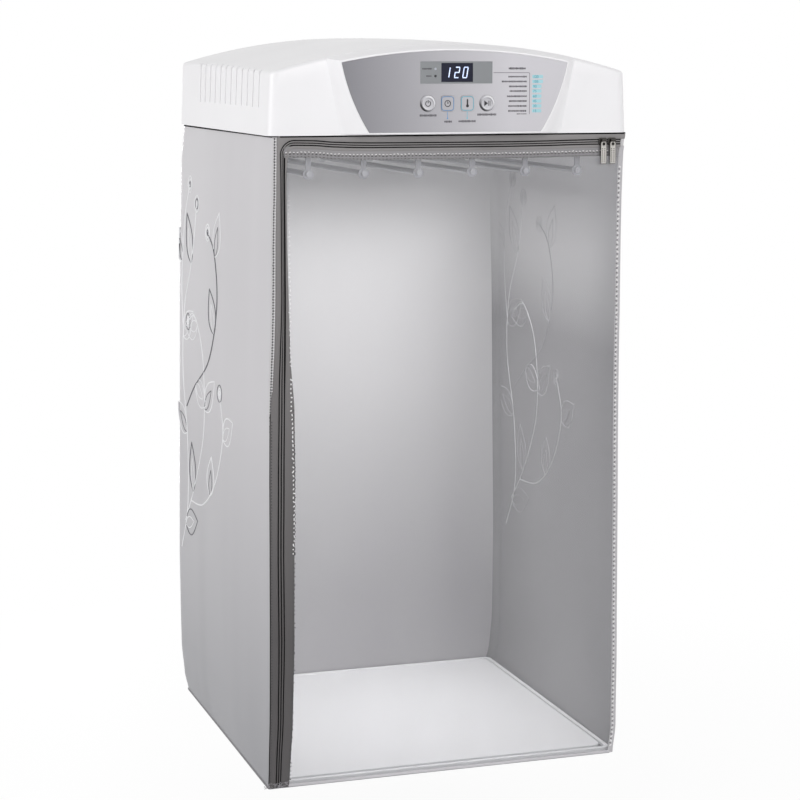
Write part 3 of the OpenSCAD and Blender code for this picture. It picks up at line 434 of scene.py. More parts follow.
@finish
def plastic(tree, shader, colour, gloss=(0.3, 0.4), shade=0.97, grain=900.0, grain_depth=0.00002,
            coat=0.0, specular=0.5):
    """Moulded plastic: fine grain, slight changes of tone, and a coat on the glossy ones."""
    grained = place_group(tree, grain_group, Colour=colour, Shade=shade, Grain_scale=grain,
                          Gloss_low=gloss[0], Gloss_high=gloss[1])
    feed_all(tree, shader, Base_Color=grained["Colour"], Roughness=grained["Roughness"],
             Coat_Weight=coat, Specular_IOR_Level=specular)
    bump(tree, shader, grained["Height"], 0.25, grain_depth)


@finish
def cloth(tree, shader, colour, shade=0.85, threads=1400.0, gloss=0.55, sheen=0.15, depth=0.00008,
          bands=4.0, metallic=0.0, low=None, fade=(0, -942)):
    """Woven cloth with a soft coating; its colour turns to low between the two heights of fade: painted
    shade, darker downward.
    """
    # Painted shade: the colour darkens towards low from the upper height down to the lower one.
    if low:
        top, foot = (HEAD_FOOT + z * MM for z in fade)
        height = spread(tree, axis(tree, "Z"), 0.0, 1.0, start=foot, end=top)
        colour = blend_colours(tree, height, low, colour)
    woven = place_group(tree, weave_group, Colour=colour, Shade=shade, Threads_per_metre=threads,
                        Band_scale=bands)
    feed_all(tree, shader, Base_Color=woven["Colour"], Sheen_Weight=sheen, Metallic=metallic,
             Roughness=spread(tree, woven["Mask"], gloss, gloss + 0.1))
    if depth:
        bump(tree, shader, woven["Height"], 0.35, depth)


@finish
def metal(tree, shader, colour, gloss=(0.25, 0.45), direction=(1.0, 40.0, 40.0)):
    """Drawn or brushed metal, with its lines along one direction."""
    brushed = place_group(tree, brushed_group, Direction_scale=direction, Gloss_low=gloss[0],
                          Gloss_high=gloss[1])
    feed_all(tree, shader, Base_Color=colour, Metallic=1.0, Roughness=brushed["Roughness"])
    bump(tree, shader, brushed["Height"], 0.2, FINE_BUMP)


@finish
def silver_paint_with_painted_light(tree, shader):
    """Silver panel: darker at its left end and lighter at its right, partly its own gradient and partly
    painted shade and painted reflection, with a fine metal flake.
    """
    # The spread from left to right is partly painted shade and painted reflection.
    along = spread(tree, axis(tree, "X"), 0.0, 1.0, start=-0.165, end=0.085)
    base = blend_colours(tree, along, head_settings().panel_left_painted_shade[:],
                         head_settings().panel_right_painted_light[:])
    flakes = noise_value(tree, 2600.0, 1.0)
    bright = spread(tree, flakes, 0.0, 0.12)
    feed_all(tree, shader, Base_Color=blend_colours(tree, bright, base, tone(226, 226, 230)),
             Roughness=spread(tree, flakes, 0.36, 0.46), Metallic=0.15)
    bump(tree, shader, flakes, 0.1, FINE_BUMP)


@finish
def pearl(tree, shader):
    """Pearl plastic, whose bevels get painted shade below on the left and a painted highlight above on
    the right.
    """
    painted_bevel_shades = node(tree, "ShaderNodeValToRGB", Fac=place_group(tree, painted_bevel_light_group)["Mask"])
    ramp = painted_bevel_shades.color_ramp.elements
    # Dark end of the ramp: painted shade; bright end: painted highlight; the two middle stops are the
    # pearl's own colour.
    ramp[0].color, ramp[1].color = tone(60, 59, 62), tone(252, 252, 254)
    for place, colour in ((0.4, tone(186, 185, 190)), (0.6, tone(196, 195, 200))):
        ramp.new(place).color = colour
    grain = noise_value(tree, 1800.0, 2.0)
    feed_all(tree, shader, Base_Color=painted_bevel_shades.outputs["Color"],
             Roughness=spread(tree, grain, 0.28, 0.38))
    bump(tree, shader, grain, 0.1, FINE_BUMP)


@finish
def lit_blue(tree, shader):
    """Light of the digits, slightly uneven."""
    lit = blend_colours(tree, spread(tree, noise_value(tree, 400.0, 1.0), 0.0, 1.0),
                        tone(186, 206, 255), tone(226, 236, 255))
    feed_all(tree, shader, Emission_Color=lit, Base_Color=lit, Emission_Strength=0.5,
             Roughness=0.4)


@finish
def clear_sheet(tree, shader):
    """Clear soft sheet: mostly see-through with a light haze of its own, and a painted reflection where
    it is seen at a slant, where its near white colour shows more; with soft gloss.
    """
    haze = noise_value(tree, 6.0, 3.0, mapped(tree, Scale=(1.0, 1.0, 0.25)))
    # Painted reflection: the Fresnel share makes the near white sheet cover more at a slant; the noise
    # haze is the sheet's own.
    edge = node(tree, "ShaderNodeFresnel", IOR=1.5).outputs[0]
    cover = maths(tree, "ADD", maths(tree, "MULTIPLY", edge, 0.9), spread(tree, haze, 0.05, 0.11))
    haze_and_painted_reflection = blend_colours(tree, haze, tone(232, 233, 236), tone(246, 246, 248))
    feed_all(tree, shader, Base_Color=haze_and_painted_reflection, Alpha=cover, Roughness=0.12)
    bump(tree, shader, haze, 0.2, 0.002)


@finish
def painted_can(tree, shader):
    """Black enamel over a drawn can, worn brighter in places."""
    brushed = place_group(tree, brushed_group, Direction_scale=(10.0, 10.0, 60.0), Gloss_low=0.3,
                          Gloss_high=0.5)
    grained = place_group(tree, grain_group, Colour=tone(58, 58, 63), Shade=0.75,
                          Grain_scale=700.0)
    feed_all(tree, shader, Base_Color=grained["Colour"], Roughness=brushed["Roughness"],
             Coat_Weight=0.3)
    bump(tree, shader, brushed["Height"], 0.2, 2 * FINE_BUMP)


@finish
def heater_fins(tree, shader):
    """Thin fins drawn as bands, with painted shade in the gaps between them, tinted by heat from pale
    metal to straw and brown.
    """
    fins = node(tree, "ShaderNodeTexWave", {"bands_direction": "X"}, Scale=90.0, Distortion=0.3,
                Vector=object_place(tree)).outputs["Fac"]
    heat = noise_value(tree, 24.0, 3.0)
    warm = blend_colours(tree, spread(tree, heat, 0.0, 1.0), tone(196, 186, 172),
                         tone(168, 134, 98))
    # Painted shade: the gaps between the fins are darkened.
    painted_gap_shade = maths(tree, "MULTIPLY", fins, 0.6)
    feed_all(tree, shader, Base_Color=blend_colours(tree, painted_gap_shade, warm, tone(70, 62, 56)),
             Roughness=spread(tree, heat, 0.3, 0.5), Metallic=0.9)
    bump(tree, shader, fins, 0.6, 0.0006)


@finish
def circuit_board(tree, shader):
    """Green lacquer with lighter tracks and bare pads."""
    upright = mapped(tree, Rotation=(math.pi / 2, 0, 0))
    tracks = node(tree, "ShaderNodeTexBrick", {"offset": 0.4}, Vector=upright, Scale=120.0,
                  Mortar_Size=0.06, Color1=tone(28, 92, 58), Color2=tone(34, 104, 66),
                  Mortar=tone(74, 140, 92)).outputs
    pads = node(tree, "ShaderNodeTexVoronoi", Vector=upright, Scale=260.0,
                Randomness=0.5).outputs["Distance"]
    bare = maths(tree, "LESS_THAN", pads, 0.16)
    feed_all(tree, shader, Roughness=spread(tree, pads, 0.25, 0.4),
             Base_Color=blend_colours(tree, bare, tracks["Color"], tone(196, 186, 150)))
    bump(tree, shader, tracks["Fac"], 0.2, 5 * FINE_BUMP)


@finish
def two_lenses(tree, shader):
    """Two small lenses: the upper one is pale with painted light, standing for a lit lamp, the lower one
    is dark.
    """
    upper = maths(tree, "GREATER_THAN", axis(tree, "Z"), WINDOW.z * MM + HEAD_FOOT)
    dots = noise_value(tree, 900.0, 1.0)
    dark = blend_colours(tree, dots, tone(10, 11, 20), tone(18, 20, 30))
    feed_all(tree, shader, Base_Color=blend_colours(tree, upper, dark, tone(176, 180, 190)),
             Roughness=spread(tree, dots, 0.12, 0.2), Coat_Weight=0.5)


# Finishes that several pieces share


def white_shell():
    return plastic("white moulded plastic", head_settings().colour[:], gloss=(0.32, 0.42),
                   shade=0.985, coat=0.15)


def dark_plastic():
    return plastic("dark moulded plastic", tone(52, 52, 55), gloss=(0.4, 0.55), shade=0.8,
                   grain=1200.0)


def white_board():
    return plastic("white board", tone(238, 238, 240), gloss=(0.35, 0.5), grain=500.0)


def pull_metal():
    return metal("nickel zip metal", tone(172, 169, 165), gloss=(0.26, 0.42),
                 direction=(40.0, 40.0, 2.0))


# Dark metal: the sliders' own colour, and on the pull tabs' back blades a painted shadow rim.
def dark_metal_and_painted_rim_shade():
    return metal("darkened zip metal", tone(70, 68, 66), gloss=(0.3, 0.45))


def print_ink(name, colour):
    return plastic(name, colour, gloss=(0.45, 0.55), shade=0.9, grain=3000.0,
                   grain_depth=0.000005)


# Mesh helpers


def shade_by_angle(mesh, degrees=32.0):
    """Smooth shading, with a sharp edge wherever two faces meet at more than that angle."""
    work = bmesh.new()
    work.from_mesh(mesh)
    for face in work.faces:
        face.smooth = True
    for edge in work.edges:
        if len(edge.link_faces) == 2:
            edge.smooth = edge.calc_face_angle() < math.radians(degrees)
    work.to_mesh(mesh)
    work.free()


def link_object(name, data):
    made = bpy.data.objects.new(name, data)
    bpy.context.scene.collection.objects.link(made)
    return made


def object_of(work, name):
    """Object from a bmesh, with its faces turned outward; the bmesh is freed."""
    bmesh.ops.recalc_face_normals(work, faces=work.faces)
    mesh = bpy.data.meshes.new(name)
    work.to_mesh(mesh)
    work.free()
    return link_object(name, mesh)


def finish_piece(work, name, material, body=BODY, slot=None, replaces=(), angle=32.0):
    """Turns a bmesh into a piece that rides on a body, or on none."""
    piece = object_of(work, name)
    piece.data.materials.append(material)
    shade_by_angle(piece.data, angle)
    if body:
        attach(piece, body)
    if replaces:
        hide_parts(*replaces)
    return piece


def apply_modifiers(piece):
    """Replaces the piece's mesh by what its modifiers make of it."""
    graph = bpy.context.evaluated_depsgraph_get()
    made = bpy.data.meshes.new_from_object(piece.evaluated_get(graph))
    old = piece.data
    piece.modifiers.clear()
    piece.data = made
    bpy.data.meshes.remove(old)


def thicken(piece, thickness):
    """Turns an outer skin into a wall, inward."""
    wall = piece.modifiers.new("wall", "SOLIDIFY")
    wall.thickness = thickness * MM
    wall.offset = -1
    apply_modifiers(piece)


def cut_away(piece, work, angle=32.0):
    """Subtracts a bmesh from a piece, and frees it."""
    cutter = object_of(work, piece.name + "_cutter")
    modifier = piece.modifiers.new("cut", "BOOLEAN")
    modifier.operation = "DIFFERENCE"
    modifier.solver = "EXACT"
    modifier.object = cutter
    apply_modifiers(piece)
    bpy.data.objects.remove(cutter)
    shade_by_angle(piece.data, angle)


def loft(work, sections, closed=False, caps=True):
    """Quads between equal loops of points; the last loop joins the first if closed."""
    loops = [[work.verts.new(p) for p in section] for section in sections]
    count = len(loops[0])
    pairs = list(zip(loops, loops[1:])) + ([(loops[-1], loops[0])] if closed else [])
    for a, b in pairs:
        for i in range(count):
            j = (i + 1) % count
            work.faces.new((a[i], a[j], b[j], b[i]))
    if caps and not closed:
        work.faces.new(loops[0])
        work.faces.new(list(reversed(loops[-1])))
    return loops


def lofted(sections, closed=False):
    """A new bmesh that holds one loft."""
    work = bmesh.new()
    loft(work, sections, closed)
    return work


def prism(work, loop, ends):
    """Solid along Y, whose outline is a loop of (x, z) places."""
    loft(work, [[at(x, y, z) for x, z in loop] for y in ends])


def disc_loop(x, z, radius, count=48):
    return [(x + radius * math.cos(a), z + radius * math.sin(a)) for a in turns(count)]


def rounded_loop(x, z, half_w, half_h, corner=0.0, count=6):
    """Outline of a rectangle whose corners are rounded, if they have a radius."""
    loop = []
    for sx, sz, start in ((1, 1, 0), (-1, 1, 1), (-1, -1, 2), (1, -1, 3)):
        for k in range(count + 1 if corner else 1):
            a = math.pi / 2 * (start + k / count)
            loop.append((x + sx * (half_w - corner) + corner * math.cos(a),
                         z + sz * (half_h - corner) + corner * math.sin(a)))
    return loop


def add_tube(work, path, radius, sides=8):
    """Round tube along a list of points."""
    sections = []
    for i, p in enumerate(path):
        along = (path[min(i + 1, len(path) - 1)] - path[max(i - 1, 0)]).normalized()
        side = along.orthogonal().normalized()
        if sections:
            side = (last_side - along * last_side.dot(along)).normalized()
        last_side = side
        up = along.cross(side)
        sections.append([p + (side * math.cos(a) + up * math.sin(a)) * radius * MM
                         for a in turns(sides)])
    loft(work, sections)


def add_stitch(work, middle, along, normal, length, width, height):
    """One stitch: a short thread that dips into the cloth at both ends."""
    across = along.cross(normal)
    sections = []
    for t, size in ((-0.5, 0.35), (-0.28, 1.0), (0.28, 1.0), (0.5, 0.35)):
        centre = middle + along * length * t + normal * height * (0.5 * size - 0.2)
        sections.append([centre + across * width * 0.5 * size * math.cos(a)
                         + normal * height * 0.5 * size * math.sin(a) for a in turns(6)])
    loft(work, sections)


def stitch_run(work, path, pitch, share=0.62, width=0.7, height=0.5, jitter=0.0, zigzag=0.0,
               seed=1):
    """Stitches at an even pitch on the front, along points; zigzag swings them to both sides."""
    dice = random.Random(seed)
    lengths = [0.0]
    for a, b in zip(path, path[1:]):
        lengths.append(lengths[-1] + (b - a).length)
    place = 0
    for k in range(int(lengths[-1] / (pitch * MM))):
        s = (k + 0.5) * pitch * MM
        while lengths[place + 1] < s:
            place += 1
        a, b = path[place], path[place + 1]
        along = (b - a).normalized()
        across = along.cross(FORWARD)
        p = a.lerp(b, (s - lengths[place]) / (lengths[place + 1] - lengths[place]))
        turn = (zigzag if k % 2 else -zigzag) + jitter * dice.uniform(-1, 1)
        aim = (along * math.cos(turn) + across * math.sin(turn)).normalized()
        p = p + across * jitter * dice.uniform(-1, 1) * MM
        size = pitch * share * MM * (1 + jitter * dice.uniform(-0.5, 0.5))
        add_stitch(work, p, aim, FORWARD, size, width * MM, height * MM)


def bar_loop(x0, x1, z0, z1):
    return [(x0, z0), (x1, z0), (x1, z1), (x0, z1)]


# Shape of the head


ARCH_R = (HEAD_HALF ** 2 + ROOF_RISE ** 2) / (2 * ROOF_RISE)
SWEEP = CROWN_Y - HEAD_FRONT
SWEEP_R = (SWEEP ** 2 + ROOF_FALL ** 2) / (2 * ROOF_FALL)
TOP_OF_WALL = HEAD_HALF - DRAFT
SLOT_FOOT = 38.5
SLOT_START = -130
SLOT_PITCH = 32.4
GLAND_SLOT = ((-68.5, 0), (-55.5, 0), (-55.5, 22.5), (-68.5, 22.5))


def roof_z(x, y):
    """Height of the roof's surface."""
    return (SIDE_HEIGHT + ROOF_RISE - ARCH_R + math.sqrt(ARCH_R ** 2 - x ** 2)
            - SWEEP_R + math.sqrt(SWEEP_R ** 2 - (y - CROWN_Y) ** 2))


def roof_fall_along(x, y, direction):
    """Downward slope of the roof along a direction in plan."""
    step = 0.5
    ahead = roof_z(x + direction[0] * step, y + direction[1] * step)
    behind = roof_z(x - direction[0] * step, y - direction[1] * step)
    return (behind - ahead) / (2 * step)


def plan_columns(half, corner):
    """Right ends of the plan's rows, front to back: y, half width and outward direction."""
    rows = [(HEAD_FRONT + corner * (1 - math.cos(a)), half - corner * (1 - math.sin(a)),
             (math.sin(a), -math.cos(a))) for a in steps(0, math.pi / 2, 8)]
    return rows + [(y, half, (1.0, 0.0)) for y in steps(HEAD_FRONT + corner, HEAD_BACK, 32)[1:]]


def cover_outline(half, corner, across=36):
    """Outline of the cover in plan with outward directions, from the rear left round the front."""
    ends = plan_columns(half, corner)
    left = [(-w, y, (-d[0], d[1])) for y, w, d in reversed(ends)]
    right = [(w, y, d) for y, w, d in ends]
    front = [(x, HEAD_FRONT, (0.0, -1.0)) for x in steps(left[-1][0], right[0][0], across)[1:-1]]
    return left + front + right


def build_cover_skin(work):
    """Outer skin of the cover: leaning walls, rounded roof edge and arched roof."""
    radius, corner = head_settings().edge_radius, head_settings().corner_radius
    outline = cover_outline(TOP_OF_WALL, corner)
    foot = cover_outline(HEAD_HALF - DRAFT * BASE_PLATE / SIDE_HEIGHT, corner)
    columns, roof_loop = [], []
    for (x, y, out), (foot_x, foot_y, _) in zip(outline, foot):
        slope = math.atan(roof_fall_along(x, y, out))
        inset = radius * (1 - math.sin(slope))
        ix, iy = x - out[0] * inset, y - out[1] * inset
        centre_z = roof_z(ix, iy) - radius * math.cos(slope)
        column = [(mix(foot_x, x, t), mix(foot_y, y, t), mix(BASE_PLATE, centre_z, t))
                  for t in steps(0, 1, 6)]
        for a in steps(math.pi / 2, slope, 6)[1:-1]:
            reach = radius * (math.sin(a) - 1)
            column.append((x + out[0] * reach, y + out[1] * reach,
                           centre_z + radius * math.cos(a)))
        columns.append([work.verts.new(at(*p)) for p in column])
        roof_loop.append((ix, iy))
    rows = len(plan_columns(TOP_OF_WALL, corner))
    across = len(outline) - 2 * rows + 1
    roof = []
    for i in range(rows):
        left, right = roof_loop[rows - 1 - i], roof_loop[len(outline) - rows + i]
        roof.append([work.verts.new(at(x, y, roof_z(x, y)))
                     for x, y in zip(steps(left[0], right[0], across),
                                     steps(left[1], right[1], across))])
    rim = ([roof[i][0] for i in range(rows - 1, -1, -1)] + roof[0][1:-1]
           + [roof[i][-1] for i in range(rows)])
    for corner_point, column in zip(rim, columns):
        column.append(corner_point)
    for a, b in zip(columns, columns[1:]):
        for k in range(len(a) - 1):
            work.faces.new((a[k], b[k], b[k + 1], a[k + 1]))
    for a, b in zip(roof, roof[1:]):
        for j in range(across):
            work.faces.new((a[j], a[j + 1], b[j + 1], b[j]))


def side_cutter(work, loop, ends):
    """Solid along X, whose outline is a loop of (y, z) places."""
    loft(work, [[at(x, y, z) for y, z in loop] for x in ends])


def slot_loop(y, low, high, width):
    """Outline of an upright slot with round ends."""
    r = width / 2
    bow = [math.pi * k / 8 for k in range(9)]
    return ([(y + r * math.cos(a), high - r + r * math.sin(a)) for a in bow]
            + [(y - r * math.cos(a), low + r - r * math.sin(a)) for a in bow])


class DRYER_OT_head_cover(bpy.types.Operator):
    """Builds the white moulded cover with its rounded roof edge and its air slots"""
    bl_idname = "dryer.head_cover"
    bl_label = "Head cover"

    def execute(self, context):
        settings = head_settings()
        work = bmesh.new()
        build_cover_skin(work)
        cover = finish_piece(work, "moulded_cover", white_shell(), slot="white_shell",
                             replaces=["head_cover"])
        thicken(cover, settings.shell)
        cutters = bmesh.new()
        for side in (-1, 1):
            ends = sorted((side * (HEAD_HALF - 8.6), side * (HEAD_HALF + 6)))
            for i in range(settings.slot_count):
                y = SLOT_START - SLOT_PITCH * i
                loop = slot_loop(y, SLOT_FOOT, roof_z(TOP_OF_WALL, y) + 2, settings.slot_width)
                side_cutter(cutters, loop, ends)
        side_cutter(cutters, GLAND_SLOT, (HEAD_HALF - 10, HEAD_HALF + 6))
        prism(cutters, bar_loop(-134, 134, 16, 98), (HEAD_FRONT - 4, HEAD_FRONT + 6))
        cut_away(cover, cutters)
        self.baffles()
        return {"FINISHED"}

    def baffles(self):
        """White plates behind the air slots, which keep drips out of the head."""
        low, gap = 34, 1.3
        x_low = HEAD_HALF - DRAFT * low / SIDE_HEIGHT - gap
        for side, word in ((-1, "left"), (1, "right")):
            sections = []
            for y in steps(-118, -498, 32):
                top = roof_z(TOP_OF_WALL, y) - 4.4
                x_top = HEAD_HALF - DRAFT * top / SIDE_HEIGHT - gap
                sections.append([at(side * x, y, z) for x, z in (
                    (x_low, low), (x_top, top), (x_top - 7, top + 2.2), (x_top - 7, top + 1.2),
                    (x_top - 1, top - 1), (x_low - 1, low))])
            finish_piece(lofted(sections), "slot_baffle_" + word, white_shell(),
                         slot="white_shell")


# Shape of the fascia and the panel


PANEL_TOP = 169
PANEL_FOOT = 129
PANEL_CORNER_Z = 101
PANEL_RISE = 16.6
PANEL_BOW = 5
PANEL_LOW = 3.5
FASCIA_TOP = 187
FASCIA_FOOT = 166
FASCIA_LOW = 1.5
PANEL_RIM = 2.4
BUTTONS = ("power_button", "time_key", "temperature_key", "start_button")


def middle_of(name):
    """Middle of a node's box in millimetres, its height above the head's lower edge."""
    low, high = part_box(name)
    centre = (low + high) / 2 / MM
    return Vector((centre.x, centre.y, centre.z - HEAD_FOOT / MM))


def face_of(name):
    """Front of a node's box in millimetres."""
    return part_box(name)[0].y / MM


BUTTON_X = [middle_of(name).x for name in BUTTONS]
BUTTON_Z = middle_of(BUTTONS[0]).z
WINDOW = middle_of("display_window")
ROUND_R = 11.2
KEY_HALF_W = 9.5
KEY_HALF_H = 10.75
KEY_GAP = 0.3


def arc_between(a, b, rise, count):
    """Points of an arc from a to b that bows to the left of its direction by the rise."""
    chord = math.dist(a, b)
    radius = ((chord / 2) ** 2 + rise ** 2) / (2 * rise)
    u = ((b[0] - a[0]) / chord, (b[1] - a[1]) / chord)
    half = math.asin(chord / 2 / radius)
    points = []
    for t in steps(-half, half, count):
        along, off = radius * math.sin(t), rise - radius + radius * math.cos(t)
        points.append(((a[0] + b[0]) / 2 + u[0] * along - u[1] * off,
                       (a[1] + b[1]) / 2 + u[1] * along + u[0] * off))
    return points


def resample(points, count):
    """Evenly spaced points along a polyline, its two ends kept."""
    lengths = [0.0]
    for a, b in zip(points, points[1:]):
        lengths.append(lengths[-1] + math.dist(a, b))
    made, place = [], 0
    for s in steps(0, lengths[-1], count):
        while place < len(points) - 2 and lengths[place + 1] < s:
            place += 1
        t = (s - lengths[place]) / (lengths[place + 1] - lengths[place])
        made.append(tuple(mix(p, q, t) for p, q in zip(points[place], points[place + 1])))
    return made


def four_sided(top, right, foot, left):
    """One loop from four sides, each with its own count of points."""
    loop = []
    for side, count in ((top, 40), (right, 14), (foot, 20), (left, 14)):
        loop += resample(side, count)[:-1]
    return loop


def panel_loop(grow):
    """Outline of the silver panel, grown by a margin, from its top left corner to the right."""
    top, foot = PANEL_TOP + grow, PANEL_FOOT + grow
    high, low = PANEL_CORNER_Z + grow, PANEL_LOW - min(grow, PANEL_LOW - FASCIA_LOW)
    return four_sided(arc_between((-top, high), (top, high), PANEL_RISE, 32),
                      arc_between((top, high), (foot, low), PANEL_BOW, 12),
                      [(foot, low), (-foot, low)],
                      arc_between((-foot, low), (-top, high), PANEL_BOW, 12))


def fascia_loop():
    """Outline of the fascia where it meets the head's face."""
    top = [(x, roof_z(x, HEAD_FRONT) - 1) for x in steps(-FASCIA_TOP, FASCIA_TOP, 24)]
    right, left = (FASCIA_FOOT, FASCIA_LOW), (-FASCIA_FOOT, FASCIA_LOW)
    return four_sided(top, [top[-1], right], [right, left], [left, top[0]])


class DRYER_OT_fascia(bpy.types.Operator):
    """Builds the white raised fascia with soft flanks and a rounded rim round the panel"""
    bl_idname = "dryer.fascia"
    bl_label = "Fascia"

    def execute(self, context):
        outer, inner = fascia_loop(), panel_loop(PANEL_RIM)
        rings = []
        for t in steps(0, 1, 12):
            y = mix(HEAD_FRONT + 0.2, FACE_Y + 0.5, t - 0.05 * math.sin(math.tau * t))
            rings.append([at(mix(a[0], b[0], t), y, mix(a[1], b[1], t))
                          for a, b in zip(outer, inner)])
        for grow, depth in ((2.2, 0.2), (1.8, 0.03), (1.2, 0.0), (0.5, 0.0), (0.15, 0.12),
                            (0.0, 0.4), (0.0, 0.82)):
            rings.append([at(x, FACE_Y + depth, z) for x, z in panel_loop(grow)])
        work = bmesh.new()
        work.faces.new(loft(work, rings, caps=False)[-1])
        fascia = finish_piece(work, "raised_fascia", white_shell(), slot="white_shell",
                              replaces=["front_fascia"])
        thicken(fascia, 2.6)
        cutters = bmesh.new()
        ends = (FACE_Y - 4, FACE_Y + 8)
        prism(cutters, rounded_loop(WINDOW.x, WINDOW.z, 54, 15.5), ends)
        for x in BUTTON_X[1:3]:
            prism(cutters, rounded_loop(x, BUTTON_Z, KEY_HALF_W + KEY_GAP, KEY_HALF_H + KEY_GAP, 4, 4),
                  ends)
        for x in (BUTTON_X[0], BUTTON_X[3]):
            prism(cutters, disc_loop(x, BUTTON_Z, ROUND_R + KEY_GAP), ends)
        cut_away(fascia, cutters)
        posts = bmesh.new()
        for x in (-122, 122):
            for z in (26, 90):
                prism(posts, disc_loop(x, z, 3.5, 24), (FACE_Y + 3.2, FACE_Y + 12))
        finish_piece(posts, "board_posts", white_shell(), slot="white_shell")
        return {"FINISHED"}


# Shape of the bag


def profile(points, z):
    """Value at a height, with soft turns between the listed heights, from the top down."""
    if z >= points[0][0]:
        return points[0][1]
    for (z0, v0), (z1, v1) in zip(points, points[1:]):
        if z >= z1:
            return mix(v0, v1, smooth_step((z0 - z) / (z0 - z1)) * 0.5 + (z0 - z) / (z0 - z1) * 0.5)
    return points[-1][1]


REAR_SWELL = [(-2, 0.31), (-56, 0.59), (-155, 0.73), (-285, 0.88), (-451, 0.93), (-700, 1.0),
              (-789, 0.91), (-859, 0.81), (-911, 0.47), (-942, 0.0)]
LEFT_SWELL = [(-2, -2.6), (-74, -2.2), (-144, -1.3), (-228, -1.3), (-370, 1.2), (-427, 1.5),
              (-486, 1.5), (-601, 0.8), (-719, 0.0), (-838, 0.0), (-913, 1.0), (-942, 1.6)]
RIGHT_SWELL = [(-2, 5.6), (-16, 3.6), (-30, 2.2), (-52, 1.2), (-99, -0.2), (-158, -1.1),
               (-396, -2.9), (-641, -2.9), (-782, -2.9), (-900, -4.2), (-942, -9.0)]


def half_width(z):
    """Half the bag's width at a height: it flares towards its foot."""
    return mix(TOP_HALF, FOOT_HALF, z / BAG_FOOT)


def soft_wave(y, z, seed):
    return noise.noise(Vector((y * 0.006, z * 0.006 * 0.35, seed)))


def edge_half(side, z):
    """Half width along the bag's front corner."""
    return half_width(z) + profile(LEFT_SWELL if side < 0 else RIGHT_SWELL, z)


def rear_half(z):
    return half_width(z) + profile(REAR_SWELL, z) * bag_settings().billow


def side_reach(side, y, z):
    """Distance of a side cloth's outer face from the middle plane."""
    t = min(max(-(y + 2) / 537, 0), 1)
    hang = smooth_step(min(1, (BAG_TOP - z) / 60)) * smooth_step(min(1, (z - BAG_FOOT) / 60))
    ripple = bag_settings().ripple * 2 * soft_wave(y, z, 3.1 + side) * hang
    belly = 1.6 * math.sin(math.pi * t) * hang
    return mix(rear_half(z), edge_half(side, z), t ** 1.4) + belly + ripple * math.sin(math.pi * t)


FRONT_ROUND = 3
FOOT_ROUND = 8
BACK_ROUND = 14
TURN_COLUMNS = 4
FLAT_COLUMNS = 32
REAR_COLUMNS = 5
SIDE_COLUMNS = TURN_COLUMNS + FLAT_COLUMNS + REAR_COLUMNS
CLOTH = 1.2


def front_round(side, z):
    """Radius of the bag's front corners: the right one opens out at the foot."""
    wide = smooth_step((-z - 840) / 100) if side > 0 else 0
    return mix(FRONT_ROUND, FOOT_ROUND, wide)


def side_point(side, column, z):
    """Point of a side cloth's outer face; columns run from the front edge to the rear edge."""
    r = front_round(side, z)
    if column < TURN_COLUMNS:
        a = math.pi / 2 * column / TURN_COLUMNS
        reach = side_reach(side, SIDE_FRONT + r, z)
        return at(side * (reach - r * (1 - math.sin(a))), SIDE_FRONT + r * (1 - math.cos(a)), z)
    column -= TURN_COLUMNS
    if column <= FLAT_COLUMNS:
        y = mix(SIDE_FRONT + r, BAG_BACK - BACK_ROUND, column / FLAT_COLUMNS)
        return at(side * side_reach(side, y, z), y, z)
    a = math.pi / 2 * (column - FLAT_COLUMNS) / REAR_COLUMNS
    reach = side_reach(side, BAG_BACK - BACK_ROUND, z)
    return at(side * (reach - BACK_ROUND * (1 - math.cos(a))),
              BAG_BACK - BACK_ROUND * (1 - math.sin(a)), z)


def grid_normals(rows):
    """Unit normal at each point of a grid of points."""
    normals = []
    for i, row in enumerate(rows):
        line = []
        for j in range(len(row)):
            down = rows[min(i + 1, len(rows) - 1)][j] - rows[max(i - 1, 0)][j]
            along = row[min(j + 1, len(row) - 1)] - row[max(j - 1, 0)]
            line.append(along.cross(down).normalized())
        normals.append(line)
    return normals


def solid_cloth(rows, thick, flip=1):
    """Closed cloth: the rows are its outer face, and its inner face lies a thickness behind them."""
    work = bmesh.new()
    front = [[work.verts.new(p) for p in row] for row in rows]
    rear = [[work.verts.new(p - n * flip * thick * MM) for p, n in zip(row, line)]
            for row, line in zip(rows, grid_normals(rows))]
    last_row, last_column = len(rows) - 1, len(rows[0]) - 1
    for i in range(last_row):
        for j in range(last_column):
            work.faces.new((front[i][j], front[i][j + 1], front[i + 1][j + 1], front[i + 1][j]))
            inner = work.faces.new((rear[i][j], rear[i + 1][j], rear[i + 1][j + 1],
                                    rear[i][j + 1]))
            inner.material_index = 1
    for i in range(last_row):
        for j in (0, last_column):
            work.faces.new((front[i][j], front[i + 1][j], rear[i + 1][j], rear[i][j]))
    for j in range(last_column):
        for i in (0, last_row):
            work.faces.new((front[i][j], front[i][j + 1], rear[i][j + 1], rear[i][j]))
    return work


# The side cloth darkens towards the foot with painted shade.
def side_cloth():
    return cloth("silver side cloth", bag_settings().cloth_colour[:], shade=0.93, threads=900.0,
                 gloss=0.42, sheen=0.1, depth=0.00002, bands=5.0, metallic=0.08,
                 low=bag_settings().cloth_foot_painted_shade[:], fade=(-390, -930))


# Painted shade: the lining darkens from near white at the top to low further down, as the walls inside
# the bag fall into shade.
def lining(name="grey lining", colour=tone(250, 249, 250), low=tone(110, 108, 111), foot=-330):
    return cloth(name, colour, shade=0.99, threads=2600.0, gloss=0.5, depth=0.0, low=low,
                 fade=(-20, foot))


